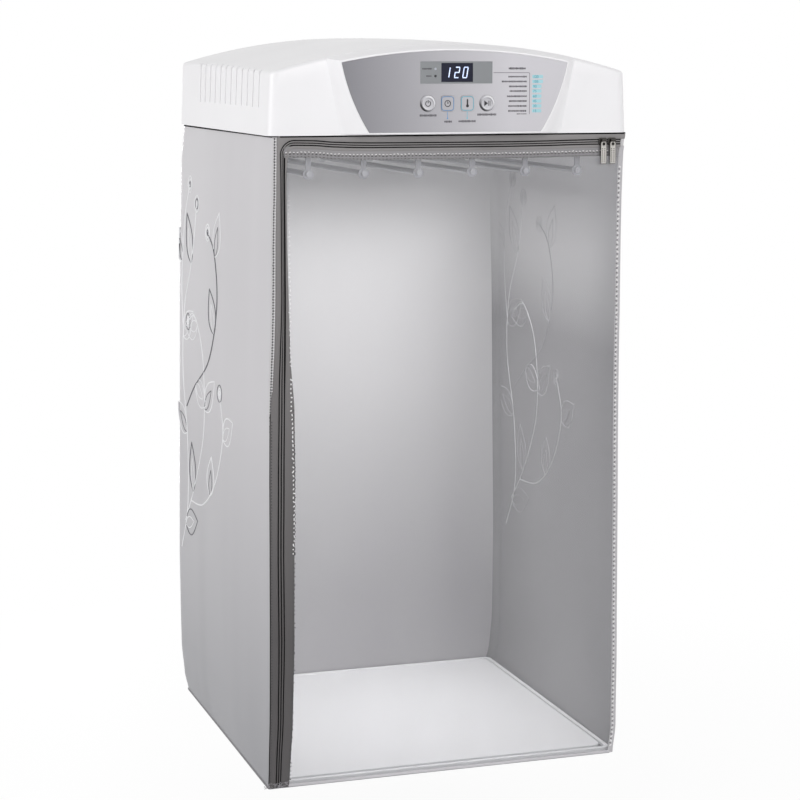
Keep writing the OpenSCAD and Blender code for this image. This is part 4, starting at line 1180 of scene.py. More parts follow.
# The tape darkens towards the foot with painted shade.
def tape_cloth():
    return cloth("dark woven tape", bag_settings().tape_colour[:], shade=0.88, threads=1100.0,
                 gloss=0.5, depth=0.00006, bands=14.0, low=bag_settings().tape_foot_painted_shade[:],
                 fade=(0, -720))


def trim_cloth(name, colour, gloss=0.5):
    return cloth(name, colour, threads=1100.0, gloss=gloss)


def binding_cloth():
    return trim_cloth("grey binding", tone(192, 190, 193))


def thread(name, colour):
    return cloth(name, colour, shade=0.9, threads=3000.0, depth=0.00002)


def light_thread():
    return thread("light thread", tone(236, 234, 235))


def dark_thread():
    return thread("dark thread", tone(62, 60, 62))


def pale_thread():
    return thread("pale thread", tone(150, 148, 152))


# Painted shadow: near black cloth with little gloss, laid where grooves and the head's edge are in shade.
def painted_shadow_cloth():
    return plastic("groove cloth", tone(7, 7, 7), gloss=(0.75, 0.85), shade=0.8, grain=1500.0,
                   specular=0.1)


def zip_metal():
    return plastic("zip teeth", tone(26, 25, 25), gloss=(0.6, 0.7), shade=0.8, grain=1500.0,
                   specular=0.2)


class DRYER_OT_side_cloths(bpy.types.Operator):
    """Builds the left and right cloths of the bag, billowing at the rear and drawn in at the foot"""
    bl_idname = "dryer.side_cloths"
    bl_label = "Side cloths"

    def execute(self, context):
        for side, word in ((-1, "left"), (1, "right")):
            rows = [[side_point(side, column, z) for column in range(SIDE_COLUMNS + 1)]
                    for z in steps(BAG_TOP, BAG_FOOT, 96)]
            piece = finish_piece(solid_cloth(rows, CLOTH, flip=-side), "side_cloth_" + word,
                                 side_cloth(), slot="side_cloth", replaces=["bag_" + word],
                                 angle=50)
            piece.data.materials.append(lining())
            trims = self.seam(side, word) + [self.foot_piping(side, word)]
        return {"FINISHED"}

    def seam(self, side, word):
        """Light strip folded round the front corner, with its stitches on the left one."""
        sections, path = [], []
        for z in steps(BAG_TOP, STRIP_END if side < 0 else BAG_FOOT, 130):
            r, edge, wide = front_round(side, z), edge_half(side, z), strip_width(z) + 0.8
            section = [(-0.35, 5.0, -0.4), (0.25, 5.0, 0.0), (0.35, r, 0.0),
                       (-r * 0.3 + 0.4, r * 0.3, 0.4), (-wide * 0.4, -0.2, 0.9),
                       (-wide * 0.75, -0.3, 1.1), (-wide, 0, 0.9), (-wide, 1.2, 0)]
            front = SIDE_FRONT - front_wave(edge, z)
            sections.append([at(side * (edge + dx), front + dy - dl, z) for dx, dy, dl in section])
            path.append(at(side * (edge - wide * 0.3), front - 1.5, z))
        pieces = [finish_piece(lofted(sections), "corner_strip_" + word,
                               trim_cloth("light corner strip", tone(206, 204, 206), 0.55),
                               slot="side_cloth", angle=50)]
        return pieces + self.corner_stitches(path) if side < 0 else pieces

    def corner_stitches(self, path):
        """Dark dots and a wavy light thread on the strip, and dark dots on the band's left edge."""
        light, dark = bmesh.new(), bmesh.new()
        stitch_run(dark, path, 4.0, share=0.7, width=2.0, height=1.1, zigzag=0.3, jitter=0.2,
                   seed=6)
        band = [front_point(-edge_half(-1, z) + 2.4 - drift(-TOP_HALF, z), z, 1.0)
                for z in steps(STRIP_END + 20, BAG_FOOT + 8, 100)]
        stitch_run(dark, band, 4.4, share=0.6, width=1.5, height=0.9, zigzag=0.5, jitter=0.3,
                   seed=7)
        inward = [p + Vector((1.9, -0.2, -2)) * MM for p in path if p.z > HEAD_FOOT - 0.36]
        stitch_run(light, inward, 4.0, share=0.6, width=1.7, height=1.2, zigzag=0.4,
                   jitter=0.25, seed=5)
        return [finish_piece(light, "corner_stitches", light_thread(), slot="side_cloth"),
                finish_piece(dark, "corner_dots", dark_thread(), slot="side_cloth")]

    def foot_piping(self, side, word):
        """Round piping along the side cloth's lower edge."""
        work = bmesh.new()
        add_tube(work, [side_point(side, column, BAG_FOOT) + Vector((0, 0, CLOTH * MM))
                        for column in range(SIDE_COLUMNS + 1)], 1.7)
        return finish_piece(work, "foot_piping_" + word,
                            cloth("grey piping", tone(132, 131, 134), threads=1600.0),
                            slot="side_cloth")


def plan_loop(half_x, y0, y1, corner):
    """Outline of a rounded rectangle in plan."""
    return rounded_loop(0, (y0 + y1) / 2, half_x, (y1 - y0) / 2, corner, 8)


def plan_ring(half_x, y0, y1, corner, thick, z0, z1):
    """Frame with rounded corners and eased edges, between two heights."""
    ease = 0.5
    outer = plan_loop(half_x, y0, y1, corner)
    inner = plan_loop(half_x - thick, y0 + thick, y1 - thick, max(corner - thick, 1))
    sections = []
    for (ox, oy), (ix, iy) in zip(outer, inner):
        t = ease / thick
        sections.append([at(ox, oy, z0), at(ox, oy, z1 - ease),
                         at(mix(ox, ix, t), mix(oy, iy, t), z1),
                         at(mix(ix, ox, t), mix(iy, oy, t), z1), at(ix, iy, z1 - ease),
                         at(ix, iy, z0)])
    return lofted(sections, closed=True)


class DRYER_OT_rail_and_board(bpy.types.Operator):
    """Builds the rail at the bag's top, and the white board and its frame in the bag's foot"""
    bl_idname = "dryer.rail_and_board"
    bl_label = "Rail and floor board"

    def execute(self, context):
        low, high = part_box("bag_rail")
        # The rail's dark plastic also serves as painted shade in the gap under the head.
        finish_piece(plan_ring(259, low.y / MM + 2, high.y / MM - 2, 8, 3, -12, -0.2),
                     "top_rail", dark_plastic(), slot="dark_rail", replaces=["bag_rail"])
        low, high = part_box("base_frame")
        foot, top = (low.z - HEAD_FOOT) / MM, (high.z - HEAD_FOOT) / MM
        ring = plan_ring(266.5, low.y / MM + 3, high.y / MM - 2, 12, 6, foot + 0.8, top + 1.5)
        finish_piece(ring, "foot_frame", white_board(), slot="floor_white",
                     replaces=["base_frame"])
        low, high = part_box("floor_plate")
        sections = []
        for inset, z in ((0.0, foot + 0.8), (0.0, top - 0.8), (0.8, top)):
            plan = plan_loop(259 - inset, low.y / MM + inset, high.y / MM - inset, 14 - inset)
            sections.append([at(x, y, z) for x, y in plan])
        finish_piece(lofted(sections), "floor_board", white_board(), slot="floor_white",
                     replaces=["floor_plate"])
        return {"FINISHED"}


class DRYER_OT_back_and_floor(bpy.types.Operator):
    """Builds the back cloth and the floor cloth of the bag"""
    bl_idname = "dryer.back_and_floor"
    bl_label = "Back and floor"

    def execute(self, context):
        rows = []
        for z in steps(BAG_TOP, BAG_FOOT, 60):
            left, right = (side * (side_reach(side, BAG_BACK - BACK_ROUND, z) - BACK_ROUND)
                           for side in (-1, 1))
            rows.append([at(x, BAG_BACK + 0.9 * soft_wave(x, z, 9.0)
                            * math.sin(math.pi * k / 40), z)
                         for k, x in enumerate(steps(left, right, 40))])
        back = finish_piece(solid_cloth(rows, CLOTH), "back_cloth", side_cloth(),
                            slot="side_cloth", replaces=["bag_back"], angle=50)
        # The back lining also darkens downward with painted shade.
        back.data.materials.append(lining("grey back lining", tone(232, 231, 232),
                                          tone(166, 164, 167), -800))
        rows = []
        for column in range(SIDE_COLUMNS + 1):
            left, right = (side_point(side, column, BAG_FOOT) for side in (-1, 1))
            rows.append([left.lerp(right, k / 24) for k in range(25)])
        floor = finish_piece(solid_cloth(rows, CLOTH), "floor_cloth", side_cloth(),
                             slot="side_cloth", replaces=["bag_floor"], angle=50)
        floor.data.materials.append(lining())
        return {"FINISHED"}


# The zip and the front


ZIP_DRIFT = [(-13, 5.2), (-229, 5.2), (-371, 2.0), (-486, 0.2), (-602, -1.0), (-720, -0.6),
             (-839, -2.9), (-914, -6.4), (-936, -7.4)]
LEVEL_SAG = [(239, 3.2), (209, 2.6), (180, 0.2), (150, -0.9), (121, -1.4), (60, -1.6), (-20, -1.9),
             (-90, -2.0), (-150, -1.5), (-183, -0.9), (-215, -0.5)]
ZIP_ROLL = [(-13, 0.5), (-60, 0.34), (-229, 0.34), (-371, 0.76), (-486, 0.81), (-720, 0.81),
            (-839, 0.7), (-914, 0.62)]
LEVEL_ROLL = 0.62
TAPE_EDGE = [(-20, 9.0), (-60, 5.8), (-144, 6.3), (-229, 7.8), (-300, 11.0), (-386, 18.5),
             (-473, 20.4), (-560, 20.6), (-663, 19.1), (-812, 18.4), (-864, 17.9), (-940, 16.5)]
STITCH_LINE = [(-60, 8.6), (-229, 9.6), (-372, 13.6), (-429, 16.6), (-487, 18.2), (-560, 19.0),
               (-663, 17.4), (-900, 15.2)]
BAND_TOP = -0.7
STRIP = 5.0
STRIP_END = -420


def strip_width(z):
    """Width of the light corner strip, which rolls out of sight halfway down."""
    return 0.3 + STRIP * (1 - smooth_step((-z - 300) / 110))


def roll(station):
    """Share of its full width at which the zip shows: it is rolled inward along its upper part."""
    (_, z), (ox, _) = station
    return mix(LEVEL_ROLL, profile(ZIP_ROLL, z), smooth_step(-ox))


def drift(x, z):
    """Sideways drift of the upright zip, which fades out towards the right."""
    return profile(ZIP_DRIFT, z) * smooth_step((120 - x) / 320)


def sag(x, z):
    """Rise and fall of the level zip between its two ends."""
    near = smooth_step((BAG_TOP - z) / 5) * (1 - smooth_step((-z - 30) / 80))
    return profile(LEVEL_SAG, -x) * near


def front_wave(x, z):
    """Small forward and backward waves of the front cloth; none beside the level zip."""
    hang = smooth_step((-z - 40) / 200)
    return (1.3 * noise.noise(Vector((x * 0.012, z * 0.004, 4.4)))
            + 0.5 * noise.noise(Vector((x * 0.03, z * 0.012, 8.0)))) * hang


def zip_stations(step=6.0, foot=BAG_FOOT + 0.4, end=TOP_HALF - 2.8):
    """Places along the zip's middle line, each with its outward direction."""
    bend_x, bend_z = ZIP_X + ZIP_BEND, ZIP_Z - ZIP_BEND
    stations = [((ZIP_X, z), (-1.0, 0.0))
                for z in steps(foot, bend_z, round((bend_z - foot) / step))[:-1]]
    for a in steps(0, math.pi / 2, 12)[:-1]:
        out = (-math.cos(a), math.sin(a))
        stations.append(((bend_x + out[0] * ZIP_BEND, bend_z + out[1] * ZIP_BEND), out))
    return stations + [((x, ZIP_Z), (0.0, 1.0))
                       for x in steps(bend_x, end, round((end - bend_x) / step))]


def front_point(x, z, lift):
    """Point of the front at a place, lifted forward of the front cloth's face."""
    return at(x + drift(x, z), BAG_FRONT - lift - front_wave(x, z), z + sag(x, z))


def off_zip(station, offset, lift):
    """Point beside the zip: a positive offset lies outside it, a negative one on the door."""
    (x, z), (ox, oz) = station
    inside = min(abs(offset), ROW_OUTER)
    offset = math.copysign(abs(offset) - inside * (1 - roll(station)), offset)
    return front_point(x + ox * offset, z + oz * offset, lift)


def tape_section(inner, outer, thick, crown, base=-0.4):
    """Offsets and lifts of a tape's closed section across the zip."""
    section = [(outer, base), (outer, thick * 0.7)]
    for t in (0.08, 0.3, 0.5, 0.7, 0.92):
        section.append((mix(outer, inner, t), thick + crown * math.sin(math.pi * t)))
    return section + [(inner, thick * 0.7), (inner, base)]


def zip_edge(side):
    """Woven edge on one side of the zip."""
    section = tape_section(1.1, ROW_OUTER - 0.7, 0.5, 0.3, base=-0.6)
    return lofted([[off_zip(station, side * o, lift) for o, lift in section]
                   for station in zip_stations(step=9.0, foot=-936)])


def zip_teeth(side):
    """Row of small teeth along one side of the zip."""
    work = bmesh.new()
    fine = zip_stations(step=bag_settings().tooth_pitch, foot=-935)
    share = 0.5 if side > 0 else 0.3
    for a, b in zip(fine, fine[1:]):
        place = tuple(mix(p, q, share) for p, q in zip(a[0], b[0]))
        out = a[1]
        along = Vector((-out[1], 0, out[0]))
        tooth = []
        for offset, wide, lift in ((0.05, 0.42, 0.5), (0.4, 0.62, 0.8), (0.9, 0.6, 0.75),
                                   (1.4, 0.42, 0.4)):
            p = off_zip((place, out), side * offset, 0)
            step = along * wide * MM
            up = FORWARD * lift * MM
            tooth.append([p - step, p - step * 0.7 + up, p + step * 0.7 + up, p + step])
        loft(work, tooth)
    return work


def zip_groove_painted_shadow(side, wide):
    """Painted shadow: a dark strip at the bottom of the groove beside the zip, and of the narrow one
    behind its teeth, where there is only shade.
    """
    work = bmesh.new()
    stations = zip_stations(step=8.0)
    for near, top in ((ROW_OUTER - 0.9, 0.1), (0.0, -0.1)):
        sections = []
        for station in stations:
            far = ROW_OUTER + wide(station) if near else 1.9
            sections.append([off_zip(station, side * o, lift)
                             for o, lift in ((near, -0.6), (near, top), (far, top), (far, -0.6))])
        loft(work, sections)
    return work


def groove_width(station):
    """Width of the groove on the door's side: widest where the door rolls away from the zip."""
    (_, z), (ox, _) = station
    return mix(1.2, mix(2.4, 1.2, smooth_step((-z - 300) / 90)), smooth_step(-ox))


def band_edge(station):
    """Outer end of the front band beside a place on the zip."""
    (x, z), (ox, oz) = station
    side = -edge_half(-1, z) + strip_width(z) - drift(-TOP_HALF, z)
    if oz == 0:
        return (side, z)
    if ox == 0:
        return (x, BAND_TOP)
    centre_x, centre_z = ZIP_X + ZIP_BEND, ZIP_Z - ZIP_BEND
    reach = min((centre_x - side) / -ox, (BAND_TOP - centre_z) / oz)
    return (centre_x + ox * reach, centre_z + oz * reach)


class DRYER_OT_front_band(bpy.types.Operator):
    """Builds the dark band that frames the zip on the left and along the top"""
    bl_idname = "dryer.front_band"
    bl_label = "Front band"

    def execute(self, context):
        sections = []
        for station in zip_stations(step=8.0, end=edge_half(1, BAND_TOP) - 1):
            gap = ROW_OUTER * roll(station) + 1.2
            inner = tuple(c + o * gap for c, o in zip(*station))
            outer = band_edge(station)
            points = []
            for t, lift in ((0, -0.6), (0, 0.3), (0.06, 0.9), (0.2, 1.25), (0.5, 1.35),
                            (0.8, 1.1), (0.95, 0.7), (1, 0.2), (1, -0.6)):
                x, z = mix(outer[0], inner[0], t), mix(outer[1], inner[1], t)
                points.append(front_point(min(x, edge_half(1, z) - 1), z, lift))
            sections.append(points)
        band = finish_piece(lofted(sections), "front_band_cloth", tape_cloth(), slot="front_tape",
                            replaces=["front_band"], angle=50)
        self.folded_end()
        self.groove()
        return {"FINISHED"}

    def groove(self):
        """Painted shadow: dark cloth in the groove beside the zip, along the band's left edge, and as a
        line under the head where it shades the bag.
        """
        work = zip_groove_painted_shadow(1, lambda station: 1.5)
        edge = [front_point(-edge_half(-1, z) + 0.5 - drift(-TOP_HALF, z), z, 0.1)
                for z in steps(BAG_FOOT + 1, STRIP_END + 30, 80)]
        add_tube(work, edge, 0.8, 6)
        # Painted shadow line under the head's lower edge, across the front and along both sides.
        under = -1.2
        add_tube(work, [front_point(x, under, 0.9) for x in steps(-258, 268, 60)], 1.25, 6)
        for side in (-1, 1):
            flank = [at(side * (side_reach(side, y, under) + 0.9), y, under)
                     for y in steps(SIDE_FRONT + 4, BAG_BACK - 20, 60)]
            add_tube(work, flank, 1.35, 6)
        return finish_piece(work, "groove_fixed", painted_shadow_cloth(), slot="front_tape")

    def folded_end(self):
        """Rough hand-sewn threads over the folded lower ends of the band and the zip."""
        work = bmesh.new()
        dice = random.Random(11)
        for _ in range(90):
            x = mix(-FOOT_HALF - 1, ZIP_X + 14, dice.random())
            z = BAG_FOOT + 1 + 7 * dice.random()
            turn = dice.uniform(-1.2, 1.2)
            aim = Vector((math.cos(turn), 0, math.sin(turn)))
            add_stitch(work, front_point(x, z, 1.3), aim, FORWARD, 3.2 * MM, 0.6 * MM, 0.5 * MM)
        return finish_piece(work, "folded_end_threads", pale_thread(), slot="front_tape")


class DRYER_OT_zip(bpy.types.Operator):
    """Builds the two rows of zip teeth on their woven edges"""
    bl_idname = "dryer.zip"
    bl_label = "Zip"

    def execute(self, context):
        for side, word, body in ((1, "fixed", BODY), (-1, "door", DOOR)):
            finish_piece(zip_edge(side), "zip_edge_" + word, tape_cloth(), body=body,
                         slot="front_tape", replaces=["zip_teeth_" + word])
            finish_piece(zip_teeth(side), "zip_row_" + word, zip_metal(), body=body,
                         slot="zip_coil")
        return {"FINISHED"}


def beside_zip(station, real):
    """Offset that shows at the wanted distance from the zip's middle line."""
    return real + ROW_OUTER * (1 - roll(station))


def door_tape_edge(station):
    """Offset of the tape's inner edge: the tape is rolled out of sight beside the upper zip."""
    (_, z), (_, oz) = station
    upright = 1 - smooth_step(oz * 1.3)
    return beside_zip(station, mix(8.4, profile(TAPE_EDGE, z), upright))


def level_line():
    """Places along the level zip's middle line, carried on to the left corner."""
    return [((x, ZIP_Z), (0.0, 1.0)) for x in steps(ZIP_X + 3, edge_half(1, -30) - 9, 60)]


def door_heights():
    return steps(ZIP_Z - ROW_OUTER - 2, BAG_FOOT + 0.6, 110)


class DRYER_OT_door(bpy.types.Operator):
    """Builds the door: its clear sheet, its dark tape, its bound edge and its hem"""
    bl_idname = "dryer.door"
    bl_label = "Door"

    def execute(self, context):
        window = self.window()
        trims = [self.tape(), self.binding(), self.hem(), self.groove(),
                 self.top_strip()] + self.seams()
        return {"FINISHED"}

    def piece(self, work, name, material, slot="binding", **options):
        return finish_piece(work, name, material, body=DOOR, slot=slot, **options)

    def window(self):
        inset = ROW_OUTER + 2.6
        rows = []
        for z in steps(ZIP_Z - ROW_OUTER - 6, BAG_FOOT + 3, 60):
            left = ZIP_X + inset
            if z > ZIP_Z - ZIP_BEND:
                r = ZIP_BEND - inset
                up = min(z - (ZIP_Z - ZIP_BEND), r)
                left = ZIP_X + ZIP_BEND - math.sqrt(max(r * r - up * up, 0))
            rows.append([front_point(x, z, 0.0) for x in steps(left, edge_half(1, z) - 5, 40)])
        return self.piece(solid_cloth(rows, 0.4), "clear_window", clear_sheet("clear sheet"),
                          "clear_sheet", replaces=["door_window"], angle=60)

    def tape(self):
        sections = []
        for station in zip_stations(step=8.0):
            start = ROW_OUTER + groove_width(station)
            section = tape_section(start, max(door_tape_edge(station), start + 1.2), 0.8, 0.35,
                                   base=-0.5)
            sections.append([off_zip(station, -o, lift) for o, lift in section])
        return self.piece(lofted(sections), "door_tape_cloth", tape_cloth(), "front_tape",
                          replaces=["door_tape"], angle=50)

    def groove(self):
        # Painted shadow in the groove on the door's side of the zip.
        work = zip_groove_painted_shadow(-1, lambda station: groove_width(station) + 0.2)
        return self.piece(work, "groove_door", painted_shadow_cloth(), "front_tape")

    def binding(self):
        """Grey binding folded round the door's right edge."""
        section = [(0, -0.8), (0, 0.5), (0.6, 0.9), (2.6, 1.2), (5, 1.1), (7.4, 0.7),
                   (7.8, 0.2), (7.8, -0.8)]
        sections = [[front_point(edge_half(1, z) - 0.6 - o, z, lift) for o, lift in section]
                    for z in door_heights()]
        return self.piece(lofted(sections), "door_edge_binding", binding_cloth(),
                          replaces=["door_binding"], angle=50)

    def hem(self):
        """Thin light hem along the door's foot."""
        section = [(0.3, -0.6), (0.3, 0.5), (1.0, 0.9), (3.2, 0.9), (4.2, 0.5), (4.2, -0.6)]
        line = steps(ZIP_X + ROW_OUTER + 9, edge_half(1, BAG_FOOT) - 3, 60)
        sections = [[front_point(x, BAG_FOOT + o, lift) for o, lift in section] for x in line]
        return self.piece(lofted(sections), "door_foot_hem",
                          trim_cloth("light hem", tone(205, 203, 207), 0.45), angle=50)

    def top_strip(self):
        """Light strip that sews the clear sheet to the tape under the level zip."""
        sections = []
        for station in level_line():
            section = tape_section(ROW_OUTER + 2, beside_zip(station, 20.5), 0.45, 0.15, base=-0.3)
            sections.append([off_zip(station, -o, lift) for o, lift in section])
        return self.piece(lofted(sections), "window_top_strip",
                          trim_cloth("pale strip", tone(142, 140, 142)), angle=50)

    def seams(self):
        """Rows of light and dark stitches along the strip, the tape and the binding."""
        pitch = bag_settings().stitch_pitch
        light, dark, dull, edge, spots = (bmesh.new() for _ in range(5))
        level = level_line()
        upright = [s for s in zip_stations(step=8.0) if s[1][1] == 0 and s[0][1] < -60]
        for real, target, width, seed in ((12.8, light, 1.1, 1), (15.2, dark, 1.4, 2),
                                          (17.4, dull, 0.9, 3), (19.2, dark, 0.8, 4)):
            stitch_run(target, [off_zip(s, -beside_zip(s, real), 0.55) for s in level],
                       pitch * 1.3, share=0.58, width=width, height=0.8, jitter=0.4, seed=seed)
        for target, shift, top, foot, width, seed in ((light, 0, -70, -330, 1.1, 21),
                                                      (light, 0, -330, -600, 2.0, 22),
                                                      (dark, 1.3, -380, -600, 2.0, 23),
                                                      (dark, 1.8, -600, -940, 1.3, 24)):
            path = [off_zip(s, -beside_zip(s, profile(STITCH_LINE, s[0][1]) + shift), 1.0)
                    for s in upright if foot < s[0][1] < top]
            stitch_run(target, path, pitch * 1.5, share=0.55, width=width, height=0.9,
                       jitter=0.75, zigzag=0.6, seed=seed)
        for target, top, inset, share, zigzag, seed in ((edge, -46, 5.4, 0.6, 0.7, 31),
                                                        (spots, -49.4, 6.4, 0.4, 0.8, 32)):
            path = [front_point(edge_half(1, z) - inset, z, 1.0)
                    for z in steps(top, BAG_FOOT + 6, 120)]
            stitch_run(target, path, pitch * 1.65, share=share, width=2.2, height=1.0,
                       zigzag=zigzag, jitter=0.35, seed=seed)
        grey = thread("grey thread", tone(112, 110, 113))
        return [self.piece(work, name, material)
                for work, name, material in ((light, "window_stitches_light", light_thread()),
                                             (dark, "window_stitches_dark", dark_thread()),
                                             (dull, "window_stitches_dull", pale_thread()),
                                             (edge, "binding_stitches_light", light_thread()),
                                             (spots, "binding_stitches_grey", grey))]


class DRYER_OT_hinge_cloth(bpy.types.Operator):
    """Builds the soft strip along which the door is sewn to the right side of the bag"""
    bl_idname = "dryer.hinge_cloth"
    bl_label = "Hinge cloth"

    def execute(self, context):
        section = [(0.5, 6.0), (0.6, 2.0), (0.2, -0.4), (-0.8, -1.5), (-2.4, -2.0), (-4.5, -2.1),
                   (-4.5, -1.7), (-2.4, -1.5), (-1.1, -1.1), (-0.3, -0.2), (0.0, 2.0), (0.0, 6.0)]
        sections = []
        for z in door_heights():
            edge = edge_half(1, z)
            wave = front_wave(edge, z)
            sections.append([at(edge + x, SIDE_FRONT + y - wave * smooth_step((6 - y) / 6), z)
                             for x, y in section])
        strip = finish_piece(lofted(sections), "hinge_cloth", binding_cloth(), body=None,
                             slot="binding", angle=60)
        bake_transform(strip)
        return {"FINISHED"}


def lathe(work, x, z, profile_points, count=56):
    """Turned solid about an axis along Y; points are (radius, y) and the two ends have radius 0."""
    ends = [work.verts.new(at(x, y, z)) for _, y in (profile_points[0], profile_points[-1])]
    rings = [[work.verts.new(at(x + r * math.cos(a), y, z + r * math.sin(a)))
              for a in turns(count)] for r, y in profile_points[1:-1]]
    for a, b in zip(rings, rings[1:]):
        for k in range(count):
            work.faces.new((a[k], a[(k + 1) % count], b[(k + 1) % count], b[k]))
    for k in range(count):
        work.faces.new((ends[0], rings[0][(k + 1) % count], rings[0][k]))
        work.faces.new((ends[1], rings[-1][k], rings[-1][(k + 1) % count]))


PRINT_SINK = 0.02


def flat_print(work, loop, y, thick=0.12):
    """Thin raised print with the outline of a loop of (x, z) places."""
    prism(work, loop, (y - thick, y + PRINT_SINK))


def line_print(work, outer, inner, y, thick=0.12, closed=False):
    """Thin raised line between two rows of equal length."""
    loft(work, [[at(ox, y - thick, oz), at(ix, y - thick, iz), at(ix, y + PRINT_SINK, iz),
                 at(ox, y + PRINT_SINK, oz)] for (ox, oz), (ix, iz) in zip(outer, inner)], closed)


def arc_print(work, x, z, radius, wide, start, end, y):
    """Printed arc of even width."""
    line_print(work, *([(x + r * math.cos(a), z + r * math.sin(a)) for a in steps(start, end, 28)]
                       for r in (radius + wide / 2, radius - wide / 2)), y)


def tick_row(work, x0, x1, z, high, dice, y):
    """Row of small bars of mixed widths."""
    x = x0
    while x < x1 - 0.5:
        wide = min(dice.uniform(0.9, 1.7), x1 - x)
        tall = high * dice.choice((0.8, 1.0, 1.0))
        flat_print(work, bar_loop(x, x + wide, z - tall / 2, z + tall / 2), y, 0.06)
        x += wide + 0.45


class DRYER_OT_buttons(bpy.types.Operator):
    """Builds the two round buttons with their dished caps, and the marks on all four buttons"""
    bl_idname = "dryer.buttons"
    bl_label = "Buttons"

    def execute(self, context):
        dark = print_ink("dark button ink", tone(40, 37, 42))
        for name, body in (("power_button", "power_key"), ("start_button", "start_key")):
            self.cap(name, body)
        for name, body, mark in (("power", "power_key", self.power_mark),
                                 ("start", "start_key", self.play_mark)):
            marks = bmesh.new()
            mark(marks, middle_of(name + "_button"), face_of(name + "_button") + 0.5)
            finish_piece(marks, name + "_mark", dark, body=body, slot="round_keys")
        keys = (("time_key", "time_button", tone(92, 134, 178), self.clock_mark),
                ("temperature_key", "temperature_button", tone(104, 172, 190),
                 self.thermometer_mark))
        half = (KEY_HALF_W - 0.05, KEY_HALF_H - 0.7)
        for name, body, colour, mark in keys:
            centre, face = middle_of(name), face_of(name)
            line, marks = bmesh.new(), bmesh.new()
            line_print(line, rounded_loop(centre.x, centre.z, *half, 4.2),
                       rounded_loop(centre.x, centre.z, *(h - 1.05 for h in half), 3.2), face,
                       closed=True)
            finish_piece(line, name + "_outline", print_ink(name + " outline ink", colour),
                         body=body, slot="square_keys")
            mark(marks, centre, face)
            finish_piece(marks, name + "_mark", dark, body=body, slot="square_keys")
        return {"FINISHED"}

    def cap(self, name, body):
        low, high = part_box(name)
        centre = middle_of(name)
        face, back = low.y / MM, high.y / MM
        flange = (high.x - low.x) / 2 / MM
        seat = FACE_Y + 4.2
        rim, stem = ROUND_R - 0.1, 2.4
        work = bmesh.new()
        lathe(work, centre.x, centre.z,
              [(0, face + 0.6), (6.4, face + 0.6), (7.4, face + 0.45), (8.1, face + 0.1),
               (8.5, face), (8.9, face + 0.1), (9.9, face + 0.9), (rim, face + 2.1),
               (rim, seat), (flange, seat), (flange, seat + 1), (stem, seat + 1), (stem, back),
               (0, back)])
        # The cap's bevels get painted shade and a painted highlight from its material.
        finish_piece(work, name + "_cap", pearl("pearl button"), body=body, slot="round_keys",
                     replaces=[name], angle=40)

    def power_mark(self, work, centre, y):
        x, z = centre.x, centre.z
        arc_print(work, x, z, 3.7, 1.15, math.radians(118), math.radians(422), y)
        flat_print(work, bar_loop(x - 0.55, x + 0.55, z + 0.4, z + 5), y)

    def play_mark(self, work, centre, y):
        x, z = centre.x, centre.z
        flat_print(work, [(x - 4.6, z - 4.0), (x + 0.9, z), (x - 4.6, z + 4.0)], y)
        for dx in (1.6, 3.7):
            flat_print(work, bar_loop(x + dx, x + dx + 0.8, z - 3.6, z + 3.6), y)

    def clock_mark(self, work, centre, y):
        x, z = centre.x, centre.z
        arc_print(work, x, z, 4.2, 1.2, 0, math.tau, y)
        flat_print(work, bar_loop(x - 0.5, x + 0.5, z - 0.3, z + 2.9), y)
        flat_print(work, [(x, z - 0.45), (x + 2.4, z + 1.0), (x + 2.05, z + 1.6),
                          (x - 0.3, z + 0.3)], y)

    def thermometer_mark(self, work, centre, y):
        x, z = centre.x, centre.z
        flat_print(work, rounded_loop(x, z + 1.6, 1.15, 4.6, 1.0), y)
        flat_print(work, disc_loop(x, z - 3.4, 2.2, 20), y)


